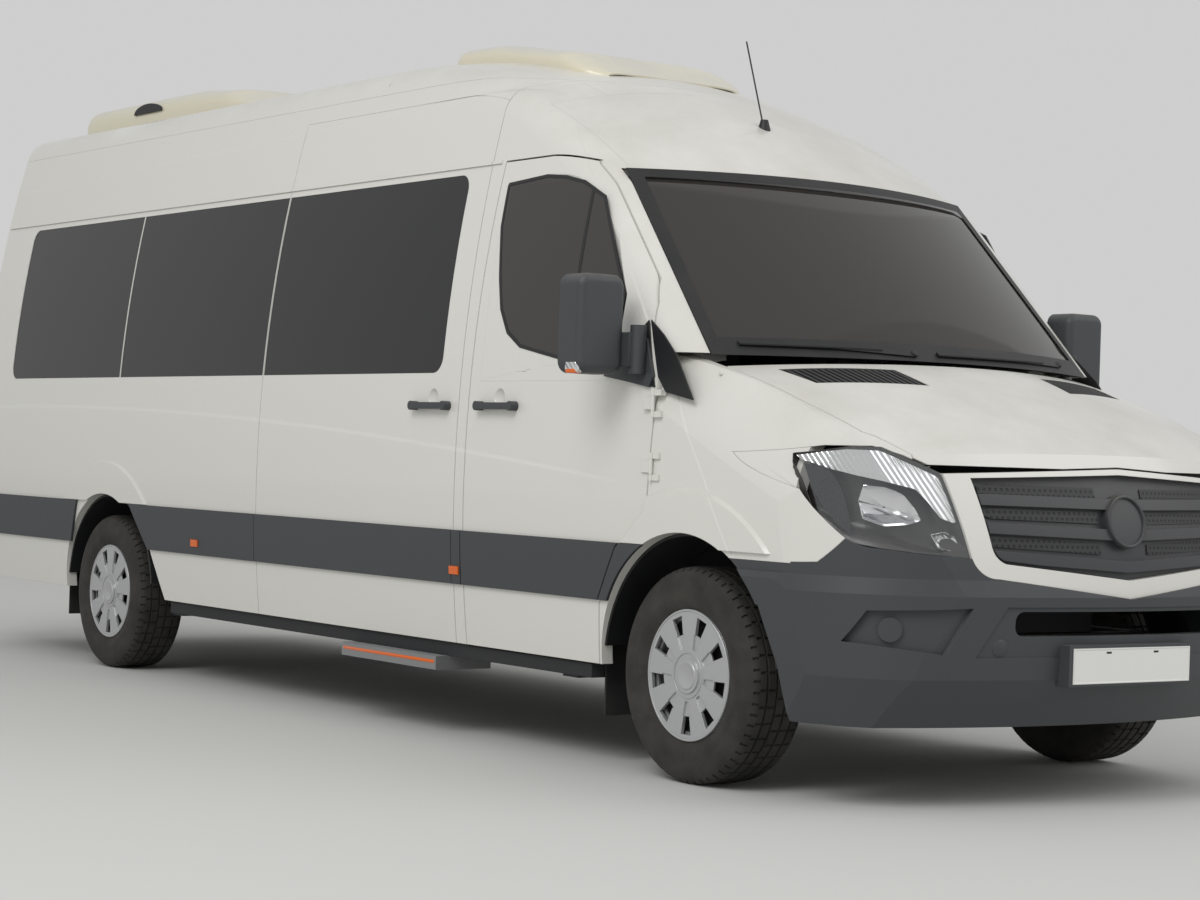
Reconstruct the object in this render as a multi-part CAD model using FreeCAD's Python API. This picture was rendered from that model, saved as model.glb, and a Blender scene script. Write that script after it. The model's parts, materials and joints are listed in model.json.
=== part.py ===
import FreeCAD, Part
import math
import os

V = FreeCAD.Vector

# Millimetres. +X is forward, +Y is the left side, +Z is up, and the ground is at Z = 0.
# Stations are drawn from a line NOSE_X behind the nose. The finished pieces are moved so that
# the origin lies on the ground under the middle of the length.

# Chassis
LENGTH = 6960
WHEELBASE = 4325
FRONT_OVERHANG = 1020
NOSE_X = 3480
TAIL_X = NOSE_X - LENGTH
FRONT_AXLE_X = NOSE_X - FRONT_OVERHANG
REAR_AXLE_X = FRONT_AXLE_X - WHEELBASE
TRACK = 1680
SIDES = (-1, 1)

# Wheels
TYRE_R = 348
TYRE_W = 235
RIM_R = 203
RIM_W = 165
COVER_R = 212
COVER_DEPTH = 12
COVER_FACE = 944
COVER_SPOKES = 9
# Openings between the spokes: inner and outer radius, half widths there
COVER_HOLE_R = (132, 190)
COVER_HOLE_W = (15, 26)
AXLE_Z = TYRE_R

# Body section: half width by height, from two long arcs
HALF_WIDTH = 985
WAIST_Z = 900
UPPER_SIDE_R = 5800
LOWER_SIDE_R = 4800
SILL_Z = 345
SHOULDER_R = 130
ROOF_Z = 2625
ROOF_R = 3000
CAP_START_X = 180
PANEL_T = 50
GLASS_T = 6
GLASS_INSET = 3
GLASS_FIT = 0.3
SEAT_GAP = 0.3
SEAM = 4
DOOR_GAP = 6
DOOR_EDGE_LEAN = 0.2
REAR_FACE_X = TAIL_X + 45
REAR_CORNER_R = 90
ROOF_SPLIT_Z = 2440
# Front end of the roof: a brow that runs down to the windscreen
BROW_X = 1300
BROW_HALF = 750
BROW_Z = 1990
DRIP_Z = (2088, 2100)
DRIP_T = 6

# Windscreen: a barrel whose axis follows the slope
SCREEN_BASE_X = 2637
SCREEN_BASE_Z = 1390
SCREEN_SLOPE = 45.2
SCREEN_R = 2400

# Nose
NOSE_TIP_X = 3462
NOSE_TIP_Z = 640
NOSE_FACE_R = 1218
NOSE_PIVOT_X = 1000
NOSE_BACK_X = 1900
HOOD_TIP = (3350, 1105)
HOOD_R = 4200
BUMPER_FOOT_Z = 255
NOSE_CORNER_R = 500
# Wing shoulder: its arc's centre height at this place along the car
WING_R = 400
WING_X = 2458
WING_Z = 1071
WING_SLOPE = 20
NOSE_T = 45
BUMPER_TOP_Z = 735
# Bumper skin: height, and how far it stands out of the nose there
BUMPER_BANDS = [(BUMPER_FOOT_Z, -35), (405, 10), (655, 10), (705, 0)]

# Wheel arches
FRONT_ARCH_R = 455
REAR_ARCH_R = 445
FLARE_R = 600
FLARE_T = 11
LINER_T = 10
LINER_Y = -948

# Floor and wheels' housings
FLOOR_Z = 620
FLOOR_T = 40
FLOOR_HALF = 924
CAB_FLOOR_Z = 560
CAB_FLOOR_HALF = 912
SILL_FOOT_Z = 292

# Door hinge lines: (X, |Y|), and the hood's as (X, Z)
FRONT_HINGE = (2292, 992)
FRONT_HINGE_Z = (985, 1190)
FRONT_HINGE_R = 6.5
REAR_HINGE = (REAR_FACE_X - 12, 888)
REAR_HINGE_Z = (720, 1410, 1700)
REAR_HINGE_R = 10
HOOD_PIVOT = (2514, 1314)
HOOD_PIN_R = 6


def arc(a, m, b):
    return Part.Arc(a, m, b).toShape()


def line(a, b):
    return Part.LineSegment(a, b).toShape()


def wire(path, place):
    # A point (u, v) is reached by a line, a pair of points by an arc through the first one
    first = place(*path[0])
    last = first
    edges = []
    for step in path[1:]:
        if isinstance(step[0], tuple):
            end = place(*step[1])
            edges.append(arc(last, place(*step[0]), end))
        else:
            end = place(*step)
            if (end - last).Length > 1e-6:
                edges.append(line(last, end))
        last = end
    if (last - first).Length > 1e-6:
        edges.append(line(last, first))
    return Part.Wire(edges)


def on_xz(y):
    return lambda u, v: V(u, y, v)


def on_yz(x):
    return lambda u, v: V(x, u, v)


def on_xy(z):
    return lambda u, v: V(u, v, z)


def prism(path, place, vector):
    return Part.Face(wire(path, place)).extrude(vector)


def grown(path, place, vector, gap):
    outline = wire(path, place)
    if abs(gap) > 1e-6:
        outline = outline.makeOffset2D(gap)
    return Part.Face(outline).extrude(vector)


def box(x0, x1, y0, y1, z0, z1):
    return Part.makeBox(x1 - x0, y1 - y0, z1 - z0, V(x0, y0, z0))


def rod(a, b, radius):
    return Part.makeCylinder(radius, (b - a).Length, a, b - a)


def tube(a, b, outer, inner):
    return rod(a, b, outer).cut(rod(a, b, inner))


def mirrored(shape):
    return shape.mirror(V(0, 0, 0), V(0, 1, 0))


def on_side(shape, side):
    # Pieces are drawn on the right, where Y is negative
    return shape if side < 0 else mirrored(shape)


def both(shape):
    return [shape, mirrored(shape)]


def fused(shapes):
    first = shapes[0]
    return first if len(shapes) == 1 else first.multiFuse(shapes[1:]).removeSplitter()


def group(shapes):
    solids = []
    for shape in shapes:
        solids += shape.Solids
    return Part.Compound(solids)


def fillet_where(shape, radius, test):
    edges = [e for e in shape.Edges if test(e)]
    return shape.makeFillet(radius, edges) if edges else shape


def kinds(shape, edge):
    faces = shape.ancestorsOfType(edge, Part.Face)
    return sorted(f.Surface.TypeId.replace("Part::Geom", "") for f in faces)


# Body forms: each takes an inset, so that two of them bound a wall

def side_y(z, inset=0):
    radius = (UPPER_SIDE_R if z > WAIST_Z else LOWER_SIDE_R) - inset
    return HALF_WIDTH - inset - radius + math.sqrt(radius ** 2 - (z - WAIST_Z) ** 2)


def section_block(inset, x0, x1, z0, z1):
    # One arc up to the waist and one above it, on each side
    levels = [z0] + ([WAIST_Z] if z0 < WAIST_Z < z1 else []) + [z1]
    right = [(-side_y(z0, inset), z0)]
    left = [(side_y(z1, inset), z1)]
    for low, high in zip(levels, levels[1:]):
        mid = (low + high) / 2
        right.append(((-side_y(mid, inset), mid), (-side_y(high, inset), high)))
    for high, low in zip(levels[::-1], levels[-2::-1]):
        mid = (low + high) / 2
        left.append(((side_y(mid, inset), mid), (side_y(low, inset), low)))
    return prism(right + left, on_yz(x0), V(x1 - x0, 0, 0))


def cab_form(inset, foot_z=SILL_Z):
    centre_z = ROOF_Z - ROOF_R
    ball = Part.makeSphere(ROOF_R - inset, V(CAP_START_X, 0, centre_z))
    a = math.radians(SCREEN_SLOPE)
    down = V(math.cos(a), 0, -math.sin(a))
    out = V(math.sin(a), 0, math.cos(a))
    axis_point = V(SCREEN_BASE_X, 0, SCREEN_BASE_Z) - out * SCREEN_R - down * 2500
    barrel = Part.makeCylinder(SCREEN_R - inset, 6000, axis_point, down)
    block = section_block(inset, CAP_START_X, NOSE_X, foot_z, ROOF_Z + 100)
    form = block.common(ball).common(barrel)
    radius = SHOULDER_R - inset

    def shoulder(edge):
        names = kinds(form, edge)
        box_ = edge.BoundBox
        across = box_.YMin * box_.YMax < 0
        return not across and box_.ZMax > WAIST_Z + 100 and box_.XMax > CAP_START_X + 1 and (
            names == ["Cylinder", "Sphere"] or (names == ["Cylinder", "Cylinder"]
                                                and box_.ZMin > 1 + WAIST_Z - 400
                                                and box_.ZMax - box_.ZMin > 1))
    return fillet_where(form, radius, shoulder)


def rear_form(inset, foot_z=SILL_Z):
    tail = REAR_FACE_X + inset
    block = section_block(inset, tail, CAP_START_X, foot_z, ROOF_Z + 100)
    roof = Part.makeCylinder(ROOF_R - inset, CAP_START_X - tail,
                             V(tail, 0, ROOF_Z - ROOF_R), V(1, 0, 0))
    form = block.common(roof)

    def shoulder(edge):
        b = edge.BoundBox
        return kinds(form, edge) == ["Cylinder", "Cylinder"] and b.ZMin > WAIST_Z + 100
    form = fillet_where(form, SHOULDER_R - inset, shoulder)

    def tail_edge(edge):
        b = edge.BoundBox
        return b.XMax < tail + 1 and b.ZMax > foot_z + 1
    return fillet_where(form, REAR_CORNER_R - inset / 2, tail_edge)


def nose_skin(inset):
    # The front face: the outer half of a ring whose tube has the profile's long arc
    return Part.makeTorus(NOSE_TIP_X - NOSE_FACE_R - NOSE_PIVOT_X, NOSE_FACE_R - inset,
                          V(NOSE_PIVOT_X, 0, NOSE_TIP_Z), V(0, 0, 1))


def hood_skin(inset):
    x0, z0 = SCREEN_BASE_X, SCREEN_BASE_Z
    x1, z1 = HOOD_TIP
    half = math.hypot(x1 - x0, z1 - z0) / 2
    rise = math.sqrt(HOOD_R ** 2 - half ** 2)
    slope = math.atan2(z0 - z1, x1 - x0)
    centre = V((x0 + x1) / 2 - rise * math.sin(slope), 0, (z0 + z1) / 2 - rise * math.cos(slope))
    return Part.makeSphere(HOOD_R - inset, centre)


def wing_skin(inset):
    # The wings' rounded shoulders run down beside the hood
    flank = HALF_WIDTH + 2
    r = WING_R - inset
    centre = flank - WING_R
    k = r * math.sqrt(0.5)
    z = WING_Z - SCREEN_BASE_Z
    outer = flank - inset
    path = [(-outer, -1500), (-outer, z), ((-centre - k, z + k), (-centre, z + r)),
            (centre, z + r), ((centre + k, z + k), (outer, z)), (outer, -1500)]
    shape = prism(path, on_yz(-800), V(2400, 0, 0))
    shape.rotate(V(0, 0, 0), V(0, 1, 0), WING_SLOPE)
    shape.translate(V(WING_X, 0, SCREEN_BASE_Z))
    return shape


def plan_path(inset):
    # Seen from above: the corner arc touches the flank and the nose circle
    r = NOSE_CORNER_R - inset
    tip = NOSE_TIP_X - NOSE_PIVOT_X - inset
    flank = HALF_WIDTH - inset + 1
    cy = flank - r
    cx = NOSE_PIVOT_X + math.sqrt((tip - r) ** 2 - cy ** 2)
    turn = math.atan2(cy, cx - NOSE_PIVOT_X)
    mid = (math.pi / 2 + turn) / 2
    end = (cx + r * math.cos(turn), cy + r * math.sin(turn))
    bend = (cx + r * math.cos(mid), cy + r * math.sin(mid))
    far = NOSE_X + 200

    def low(point):
        return (point[0], -point[1])
    return [(NOSE_BACK_X, -flank), (cx, -flank), (low(bend), low(end)), (far, -end[1]),
            (far, end[1]), end, (bend, (cx, flank)), (NOSE_BACK_X, flank)]


def nose_form(inset, foot_z):
    block = section_block(inset, NOSE_BACK_X, NOSE_X, foot_z, SCREEN_BASE_Z + 200)
    form = block.common(prism(plan_path(inset), on_xy(foot_z), V(0, 0, 1500)))
    return form.common(hood_skin(inset)).common(nose_skin(inset)).common(wing_skin(inset))


def face_radius(z):
    tube = math.sqrt(NOSE_FACE_R ** 2 - (z - NOSE_TIP_Z) ** 2)
    return NOSE_TIP_X - NOSE_PIVOT_X - NOSE_FACE_R + tube


def nose_band(z0, out0, z1, out1):
    # A slice of the nose whose skin stands out by one amount below and another above
    walls = [wire(plan_path(-out0), on_xy(z0)), wire(plan_path(-out1), on_xy(z1))]
    plan = Part.makeLoft(walls, True, True)
    cone = Part.makeCone(face_radius(z0) + out0, face_radius(z1) + out1, z1 - z0,
                         V(NOSE_PIVOT_X, 0, z0))
    section = section_block(-max(out0, out1), NOSE_BACK_X, NOSE_X + 50, z0, z1)
    return plan.common(cone).common(section)


# Outlines on the sides, as (X, Z) paths

B_PILLAR_X = 1165
DOOR_TOP_Z = 2090
DOOR_FRONT = [(1470, DOOR_TOP_Z), ((1700, 2055), (1900, 1985)), (2190, 1545), (2285, 1300),
              (2262, 872), (2108, 742), (1998, 549), (1982, SILL_Z)]
FRONT_DOOR = [(B_PILLAR_X + 3, SILL_Z), (B_PILLAR_X + 3, DOOR_TOP_Z)] + DOOR_FRONT
FRONT_WINDOW = [(1240, 1300), (1240, 2010), (1480, 2025), ((1680, 1995), (1860, 1925)),
                (2060, 1580), (2050, 1395)]
SLIDING_X = (-405, 1100)
SLIDING_TOP_Z = 2440
SLIDING_DOOR = [(SLIDING_X[0], SILL_Z), (SLIDING_X[0], SLIDING_TOP_Z),
                (SLIDING_X[1], SLIDING_TOP_Z), (SLIDING_X[1], SILL_Z)]
WINDOW_Z = (1325, 2062)
SIDE_REACH = 230
# Width of the screen pillar seen from the front, and of the door's frame behind it
PILLAR_W = 48
DOOR_FRAME_W = 42
# Side panes: rear end X, front end X, corner radius at the rear and at the front
PANES = [(SLIDING_X[0] + 2, 968, 0, 60), (-1771, SLIDING_X[0] - 8, 0, 0),
         (REAR_FACE_X + 419, -1779, 60, 0)]
PANE_EDGE = 38
GLASS_BACK = GLASS_INSET + GLASS_T + GLASS_FIT


def rounded(x0, x1, z0, z1, r):
    k = r * (1 - math.sqrt(0.5))
    return [(x0 + r, z0), (x1 - r, z0), ((x1 - k, z0 + k), (x1, z0 + r)), (x1, z1 - r),
            ((x1 - k, z1 - k), (x1 - r, z1)), (x0 + r, z1), ((x0 + k, z1 - k), (x0, z1 - r)),
            (x0, z0 + r), ((x0 + k, z0 + k), (x0 + r, z0))]


def cornered(x0, x1, z0, z1, rear_r, front_r):
    a = rear_r * (1 - math.sqrt(0.5))
    b = front_r * (1 - math.sqrt(0.5))
    path = [(x0 + rear_r, z0), (x1 - front_r, z0)]
    if front_r:
        path += [((x1 - b, z0 + b), (x1, z0 + front_r)), (x1, z1 - front_r),
                 ((x1 - b, z1 - b), (x1 - front_r, z1))]
    else:
        path += [(x1, z1)]
    path += [(x0 + rear_r, z1)]
    if rear_r:
        path += [((x0 + a, z1 - a), (x0, z1 - rear_r)), (x0, z0 + rear_r),
                 ((x0 + a, z0 + a), (x0 + rear_r, z0))]
    return path


def pane_path(pane):
    return cornered(pane[0], pane[1], WINDOW_Z[0], WINDOW_Z[1], pane[2], pane[3])


def pane_hole(pane):
    # The panel behind a pane is cut smaller, and the pane is bonded on the edge that is left
    e = PANE_EDGE
    return rounded(pane[0] + e, pane[1] - e, WINDOW_Z[0] + e, WINDOW_Z[1] - e, 40)


def side_prism(path, gap=0, lean=0):
    # A leaning prism keeps its outline at the widest place of the body
    before = 40
    shape = grown(path, on_xz(-HALF_WIDTH - before), V(SIDE_REACH * lean, SIDE_REACH, 0), gap)
    shape.translate(V(-before * lean, 0, 0))
    return shape


BODY_REAR = rear_form(0)
CAB = cab_form(0)
CAB_SHELL = CAB.cut(cab_form(PANEL_T, SILL_Z - 50))
REAR_SHELL = BODY_REAR.cut(rear_form(PANEL_T, SILL_Z - 50))
GLASS_SEAT = cab_form(GLASS_BACK).fuse(rear_form(GLASS_BACK))
CAB_GLASS = cab_form(GLASS_INSET).cut(cab_form(GLASS_INSET + GLASS_T, SILL_Z - 50))
REAR_GLASS = rear_form(GLASS_INSET).cut(rear_form(GLASS_INSET + GLASS_T, SILL_Z - 50))
NOSE = nose_form(0, BUMPER_FOOT_Z)
NOSE_SHELL = NOSE.cut(nose_form(NOSE_T, BUMPER_FOOT_Z - 50))
BODY_SHELL = CAB_SHELL.fuse(REAR_SHELL).removeSplitter()
SIDE_GLASS = CAB_GLASS.fuse(REAR_GLASS).removeSplitter()


def flare(axle_x, arch_r, foot_z):
    # Raised lip over a wheel, drawn for the right side
    x0, x1 = axle_x - FLARE_R - 30, axle_x + FLARE_R + 30
    top = AXLE_Z + FLARE_R + 30
    band = section_block(-FLARE_T, x0, x1, foot_z, top)
    band = band.cut(section_block(1, x0 - 10, x1 + 10, foot_z - 10, top + 10))
    spread = 25
    edge = Part.makeCone(FLARE_R + spread, FLARE_R - spread, 2 * spread,
                         V(axle_x, -HALF_WIDTH + spread, AXLE_Z), V(0, -1, 0))
    return band.common(edge).cut(wheel_hole(axle_x, arch_r))


def drip(x0, x1):
    # Thin ledge along the body above the windows, drawn for both sides
    z0, z1 = DRIP_Z
    outer = section_block(-DRIP_T, x0, x1, z0, z1)
    return outer.cut(section_block(1, x0 - 10, x1 + 10, z0 - 5, z1 + 5))


def glass_recess(pane):
    return side_prism(pane_path(pane), GLASS_FIT).cut(GLASS_SEAT)


def wheel_hole(axle_x, radius, y_in=500):
    return rod(V(axle_x, -1200, AXLE_Z), V(axle_x, -y_in, AXLE_Z), radius)


REAR_DOOR_EDGE = 95
REAR_DOOR_Z = (590, 2290)
REAR_DEPTH = 75


def front_door_zone(path, gap, pillar):
    shape = side_prism(path, gap, DOOR_EDGE_LEAN)
    return shape.cut(screen_prism(pillar - gap))


def rear_opening(gap):
    z0, z1 = REAR_DOOR_Z
    path = [(-side_y(z0, REAR_DOOR_EDGE) - gap, z0 - gap),
            (-side_y(WAIST_Z + 400, REAR_DOOR_EDGE) - gap, WAIST_Z + 400),
            (-side_y(z1, REAR_DOOR_EDGE) - gap, z1 + gap), (gap, z1 + gap), (gap, z0 - gap)]
    return prism(path, on_yz(TAIL_X), V(REAR_DEPTH + 50, 0, 0))


REAR_WINDOW_Z = (1360, 2030)
REAR_WINDOW_Y = (-735, -70)


def rear_window(gap):
    y0, y1 = REAR_WINDOW_Y
    z0, z1 = REAR_WINDOW_Z
    path = rounded(y0, y1, z0, z1, 60)
    return grown(path, on_yz(TAIL_X), V(REAR_DEPTH + 50, 0, 0), gap)


# Windscreen opening, drawn across the front: half width by height
SCREEN_TOP = (783, 2033)
SCREEN_FOOT = (862, 1378)
SCREEN_TOP_MID_Z = 2045
SCREEN_FOOT_MID_Z = 1385
STRIKER_Z = (880, 920)
# Front lower edge of the rear arch, (X, Z)
REAR_ARCH_EDGE = [(-1592, 757), (-1415, 580), (-1250, 300), (-1865, 300), (-1865, 757)]


def screen_prism(gap):
    path = [(-SCREEN_FOOT[0], SCREEN_FOOT[1]), ((0, SCREEN_FOOT_MID_Z), SCREEN_FOOT),
            SCREEN_TOP, ((0, SCREEN_TOP_MID_Z), (-SCREEN_TOP[0], SCREEN_TOP[1]))]
    return grown(path, on_yz(CAP_START_X + 1200), V(1600, 0, 0), gap)


def roof():
    top = BODY_SHELL.common(box(TAIL_X, NOSE_X, -1100, 1100, ROOF_SPLIT_Z, ROOF_Z + 50))
    brow = CAB_SHELL.common(box(BROW_X, NOSE_X, -BROW_HALF, BROW_HALF, BROW_Z, ROOF_SPLIT_Z))
    return top.fuse(brow).removeSplitter().cut(screen_prism(0))


def striker(x0, x1):
    # Lock plate behind the door's edge, where the wall is upright
    face = -HALF_WIDTH + PANEL_T + SEAT_GAP
    return box(x0, x1, face, face + 20, *STRIKER_Z)


def cab_frame():
    # Door frames, screen pillars and rails above the doors
    top = ROOF_SPLIT_Z - SEAT_GAP
    zone = box(B_PILLAR_X, 2480, -1100, -500, SCREEN_FOOT[1] + 5, top)
    start = SLIDING_X[1] + SEAM
    posts = box(start, B_PILLAR_X + 60, -1100, -500, SILL_Z, top)
    pieces = []
    for side in SIDES:
        area = posts if side < 0 else posts.fuse(box(SLIDING_X[1] + SEAT_GAP, start + 1, -1100, -500,
                                                     SILL_Z, top))
        shape = on_side(CAB_SHELL, side).common(zone.fuse(area).removeSplitter())
        shape = shape.cut(screen_prism(0))
        shape = shape.fuse(drip(start, B_PILLAR_X).common(box(0, NOSE_X, -1100, 0, 0, 3000)))
        gap = SEAT_GAP
        shape = shape.cut(box(BROW_X - gap, NOSE_X, -BROW_HALF - gap, 0, BROW_Z - 50, ROOF_Z))
        shape = shape.cut(front_door_zone(FRONT_DOOR, DOOR_GAP, PILLAR_W))
        plate = striker(SLIDING_X[1] - 40, B_PILLAR_X + 35).fuse(
            box(start + 6, B_PILLAR_X - 10, -HALF_WIDTH + PANEL_T - 5, -HALF_WIDTH + PANEL_T + 15,
                *STRIKER_Z))
        pieces.append(on_side(shape.fuse(plate), side))
    return group(pieces)


def body_side(side):
    zone = box(TAIL_X, SLIDING_X[1], -1100, -500, SILL_Z, ROOF_SPLIT_Z - SEAT_GAP)
    shape = BODY_SHELL.common(zone)
    shape = shape.fuse(drip(REAR_FACE_X + REAR_CORNER_R + 5, SLIDING_X[1]).common(zone))
    shape = shape.fuse(flare(REAR_AXLE_X, REAR_ARCH_R, MOULDING_Z[1] + 2))
    if side < 0:
        shape = shape.cut(side_prism(SLIDING_DOOR, SEAM))
        edge = SLIDING_X[0] - SEAM
        plate = striker(edge - 60, edge + 40)
        shape = shape.fuse(plate).fuse(box(edge - 60, edge - 5, -HALF_WIDTH + PANEL_T - 5,
                                           -HALF_WIDTH + PANEL_T + 15, *STRIKER_Z))
    for pane in PANES[1:] if side < 0 else PANES:
        shape = shape.cut(glass_recess(pane)).cut(side_prism(pane_hole(pane)))
    shape = shape.cut(wheel_hole(REAR_AXLE_X, REAR_ARCH_R))
    shape = shape.cut(side_prism(REAR_ARCH_EDGE))
    shape = shape.cut(rear_opening(DOOR_GAP)).cut(tail_lamp_zone(SEAT_GAP))
    shape = shape.cut(box(TAIL_X, REAR_FACE_X + 160, -1100, 1100, 0, REAR_DOOR_Z[0] - 20))
    x, y = REAR_HINGE
    for z in REAR_HINGE_Z:
        # Hinge eye above and below the door's, on a leaf that is let into the panel
        for low in (z - 60.3, z + 40.3):
            eye = rod(V(x, -y, low), V(x, -y, low + 20), REAR_HINGE_R)
            far = min(y + 32, side_y(low + 20) - 22)
            leaf = box(x, x + 50, -far, -y - 3, low, low + 20)
            bridge = box(x, x + 9, -y - 4, -y, low, low + 20)
            shape = shape.fuse(eye).fuse(leaf).fuse(bridge)
    return on_side(shape, side)


TAIL_LAMP_Z = (900, 1330)
TAIL_LAMP_DEPTH = 80


def tail_lamp_zone(gap):
    z0, z1 = TAIL_LAMP_Z
    return box(TAIL_X, REAR_FACE_X + TAIL_LAMP_DEPTH + gap, -1100, -500, z0 - gap, z1 + gap)


def side_glass():
    panes = [SIDE_GLASS.common(side_prism(pane_path(p))) for p in PANES]
    return group([panes[1], panes[2]] + [mirrored(p) for p in panes])


def cup(x, z):
    # Finger hollow over a handle
    return Part.makeSphere(45, V(x, -side_y(z) - 31, z))


def sliding_door():
    shape = BODY_SHELL.common(side_prism(SLIDING_DOOR))
    band = drip(SLIDING_X[0], SLIDING_X[1]).common(box(TAIL_X, NOSE_X, -1100, 0, 0, 3000))
    shape = shape.fuse(band).cut(cup(SLIDE_HANDLE[0], HANDLE_Z + 32))
    return shape.cut(glass_recess(PANES[0])).cut(side_prism(pane_hole(PANES[0])))


def sliding_door_glass():
    return SIDE_GLASS.common(side_prism(pane_path(PANES[0])))


HANDLE_Z = 1204
# Handles: middle X and length
FRONT_HANDLE = (1367, 250)
SLIDE_HANDLE = (925, 255)


def handle(x, length):
    # A grip between two round feet
    skin = side_y(HANDLE_Z - 17) + SEAT_GAP
    half = length / 2
    grip = box(x - half + 17, x + half - 17, -skin - 30, -skin - 12, HANDLE_Z - 12, HANDLE_Z + 12)
    places = [x + s * (half - 17) for s in SIDES]
    feet = [rod(V(p, -skin - 30, HANDLE_Z), V(p, -skin, HANDLE_Z), 17) for p in places]
    return fused([grip] + feet)


def front_hinge(z, door):
    # The door's eye hangs between the two eyes of the wing
    x, y = FRONT_HINGE
    skin = side_y(z + 30)
    if door:
        eye = rod(V(x, -y, z), V(x, -y, z + 50), FRONT_HINGE_R)
        foot = box(x - 55, x - 36, -y + 1, -skin + 6, z + 5, z + 45)
        return [eye, foot, box(x - 55, x, -y + 1, -y + 6.5, z + 5, z + 45)]
    pieces = []
    for low in (z - 20.3, z + 50.3):
        pieces.append(rod(V(x, -y, low), V(x, -y, low + 20), FRONT_HINGE_R))
        pieces.append(box(x, x + 40, -y + 1, -skin + 8, low, low + 20))
    return pieces


def front_door(side):
    shape = CAB_SHELL.common(front_door_zone(FRONT_DOOR, 0, PILLAR_W))
    shape = shape.cut(front_door_zone(FRONT_WINDOW, 0, PILLAR_W + DOOR_FRAME_W))
    shape = shape.cut(cup(FRONT_HANDLE[0], HANDLE_Z + 32))
    for z in FRONT_HINGE_Z:
        for piece in front_hinge(z, True):
            shape = shape.fuse(piece)
    return on_side(shape, side)


MOULDING_T = 11
MOULDING_Z = (560, 755)


def moulding_band(x0, x1):
    # Rubbing strip on the right side between two stations
    z0, z1 = MOULDING_Z
    outer = section_block(-MOULDING_T, x0, x1, z0, z1)
    band = outer.cut(section_block(-SEAT_GAP, x0 - 10, x1 + 10, z0 - 10, z1 + 10))
    return band.common(box(x0, x1, -1100, -900, 0, 1000))


def front_door_glass(side):
    zone = front_door_zone(FRONT_WINDOW, -GLASS_FIT, PILLAR_W + DOOR_FRAME_W)
    return on_side(CAB_GLASS.common(zone), side)


MIRROR_X = (2062, 2182)
MIRROR_Y = (-1213, -1030)
MIRROR_Z = (1306, 1632)
# Black corner plate that carries the mirror, (X, Z)
SAIL = [(2000, 1306), (2140, 1286), (2256, 1268), (2274, 1305), (2222, 1430), (2120, 1430)]


def mirror():
    x0, x1 = MIRROR_X
    y0, y1 = MIRROR_Y
    head = prism(rounded(y0, y1, MIRROR_Z[0], MIRROR_Z[1], 40), on_yz(x0), V(x1 - x0, 0, 0))
    head = fillet_where(head, 28, lambda e: e.BoundBox.XMin > x1 - 1)
    glass = prism(rounded(y0 + 12, y1 - 12, MIRROR_Z[0] + 30, MIRROR_Z[1] - 14, 28),
                  on_yz(x0 - 1), V(9, 0, 0))
    arm = box(2130, 2215, y1 - 10, -985, 1335, 1445)
    post = rod(V(2212, -1000, 1310), V(2212, -1000, 1470), 27)
    plate = prism(SAIL, on_xz(-1000), V(0, 60, 0)).cut(
        section_block(-SEAT_GAP, 1900, 2400, 1200, 1500))
    plate = plate.common(section_block(-12, 1900, 2400, 1200, 1500))
    post = post.cut(section_block(-SEAT_GAP, 1900, 2400, 1200, 1500))
    return fused([head.cut(glass), arm, post, plate])


def front_door_fittings(side):
    # Mirror on its plate, the handle and the rubbing strip
    strip = moulding_band(B_PILLAR_X, 2300).common(front_door_zone(FRONT_DOOR, 0, PILLAR_W))
    return on_side(group([mirror(), handle(*FRONT_HANDLE), strip]), side)


def rear_door(side):
    inner = REAR_FACE_X + PANEL_T
    zone = rear_opening(0).common(box(TAIL_X, inner, -1000, -DOOR_GAP / 2, 0, 3000))
    shape = REAR_SHELL.common(zone).cut(rear_window(0))
    x, y = REAR_HINGE
    for z in REAR_HINGE_Z:
        eye = rod(V(x, -y, z - 40), V(x, -y, z + 40), REAR_HINGE_R)
        edge = -side_y(z + 40) + REAR_DOOR_EDGE
        leaf = box(x, REAR_FACE_X - 3, -y, edge + 65, z - 38, z + 38)
        foot = box(x, REAR_FACE_X + 2, edge + 30, edge + 65, z - 38, z + 38)
        shape = shape.fuse(eye).fuse(leaf).fuse(foot)
    if side > 0:
        y0, z0 = REAR_PLATE
        shape = shape.fuse(box(REAR_FACE_X - 3, REAR_FACE_X + 5, -y0 - PLATE[0] / 2,
                               -y0 + PLATE[0] / 2, z0 - PLATE[1] / 2, z0 + PLATE[1] / 2))
    return on_side(shape, side)


def rear_door_glass(side):
    return on_side(REAR_GLASS.common(rear_window(-GLASS_FIT)), side)


# Front end outlines: half width by height

HOOD_SIDE = [(2300, 850), (2458, 850), (2860, 830), (3098, 800)]
HOOD_FRONT_Z = 1045
LAMP = [(-975, 1066), (-905, 1094), (-830, 1096), (-662, 1020), (-600, 769), (-767, 781),
        (-847, 792), ((-892, 803), (-912, 818)), ((-952, 890), (-975, 1066))]
SURROUND = [(-662, 1020), (0, 1050), (662, 1020), (600, 769), ((570, 728), (511, 709)), (0, 650),
            (-511, 709), ((-570, 728), (-600, 769))]
MESH = [(-575, 1009), (0, 1032), (575, 1009), (532, 805), ((515, 772), (484, 754)), (0, 707),
        (-484, 754), ((-515, 772), (-532, 805))]
# Bumper's upper edge under a headlamp
BUMPER_PEAK = [(-1000, 690), (-1000, 735), (-951, 744), (-912, 818), (-847, 792), (-600, 769),
               (-570, 740), (-570, 690)]
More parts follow.
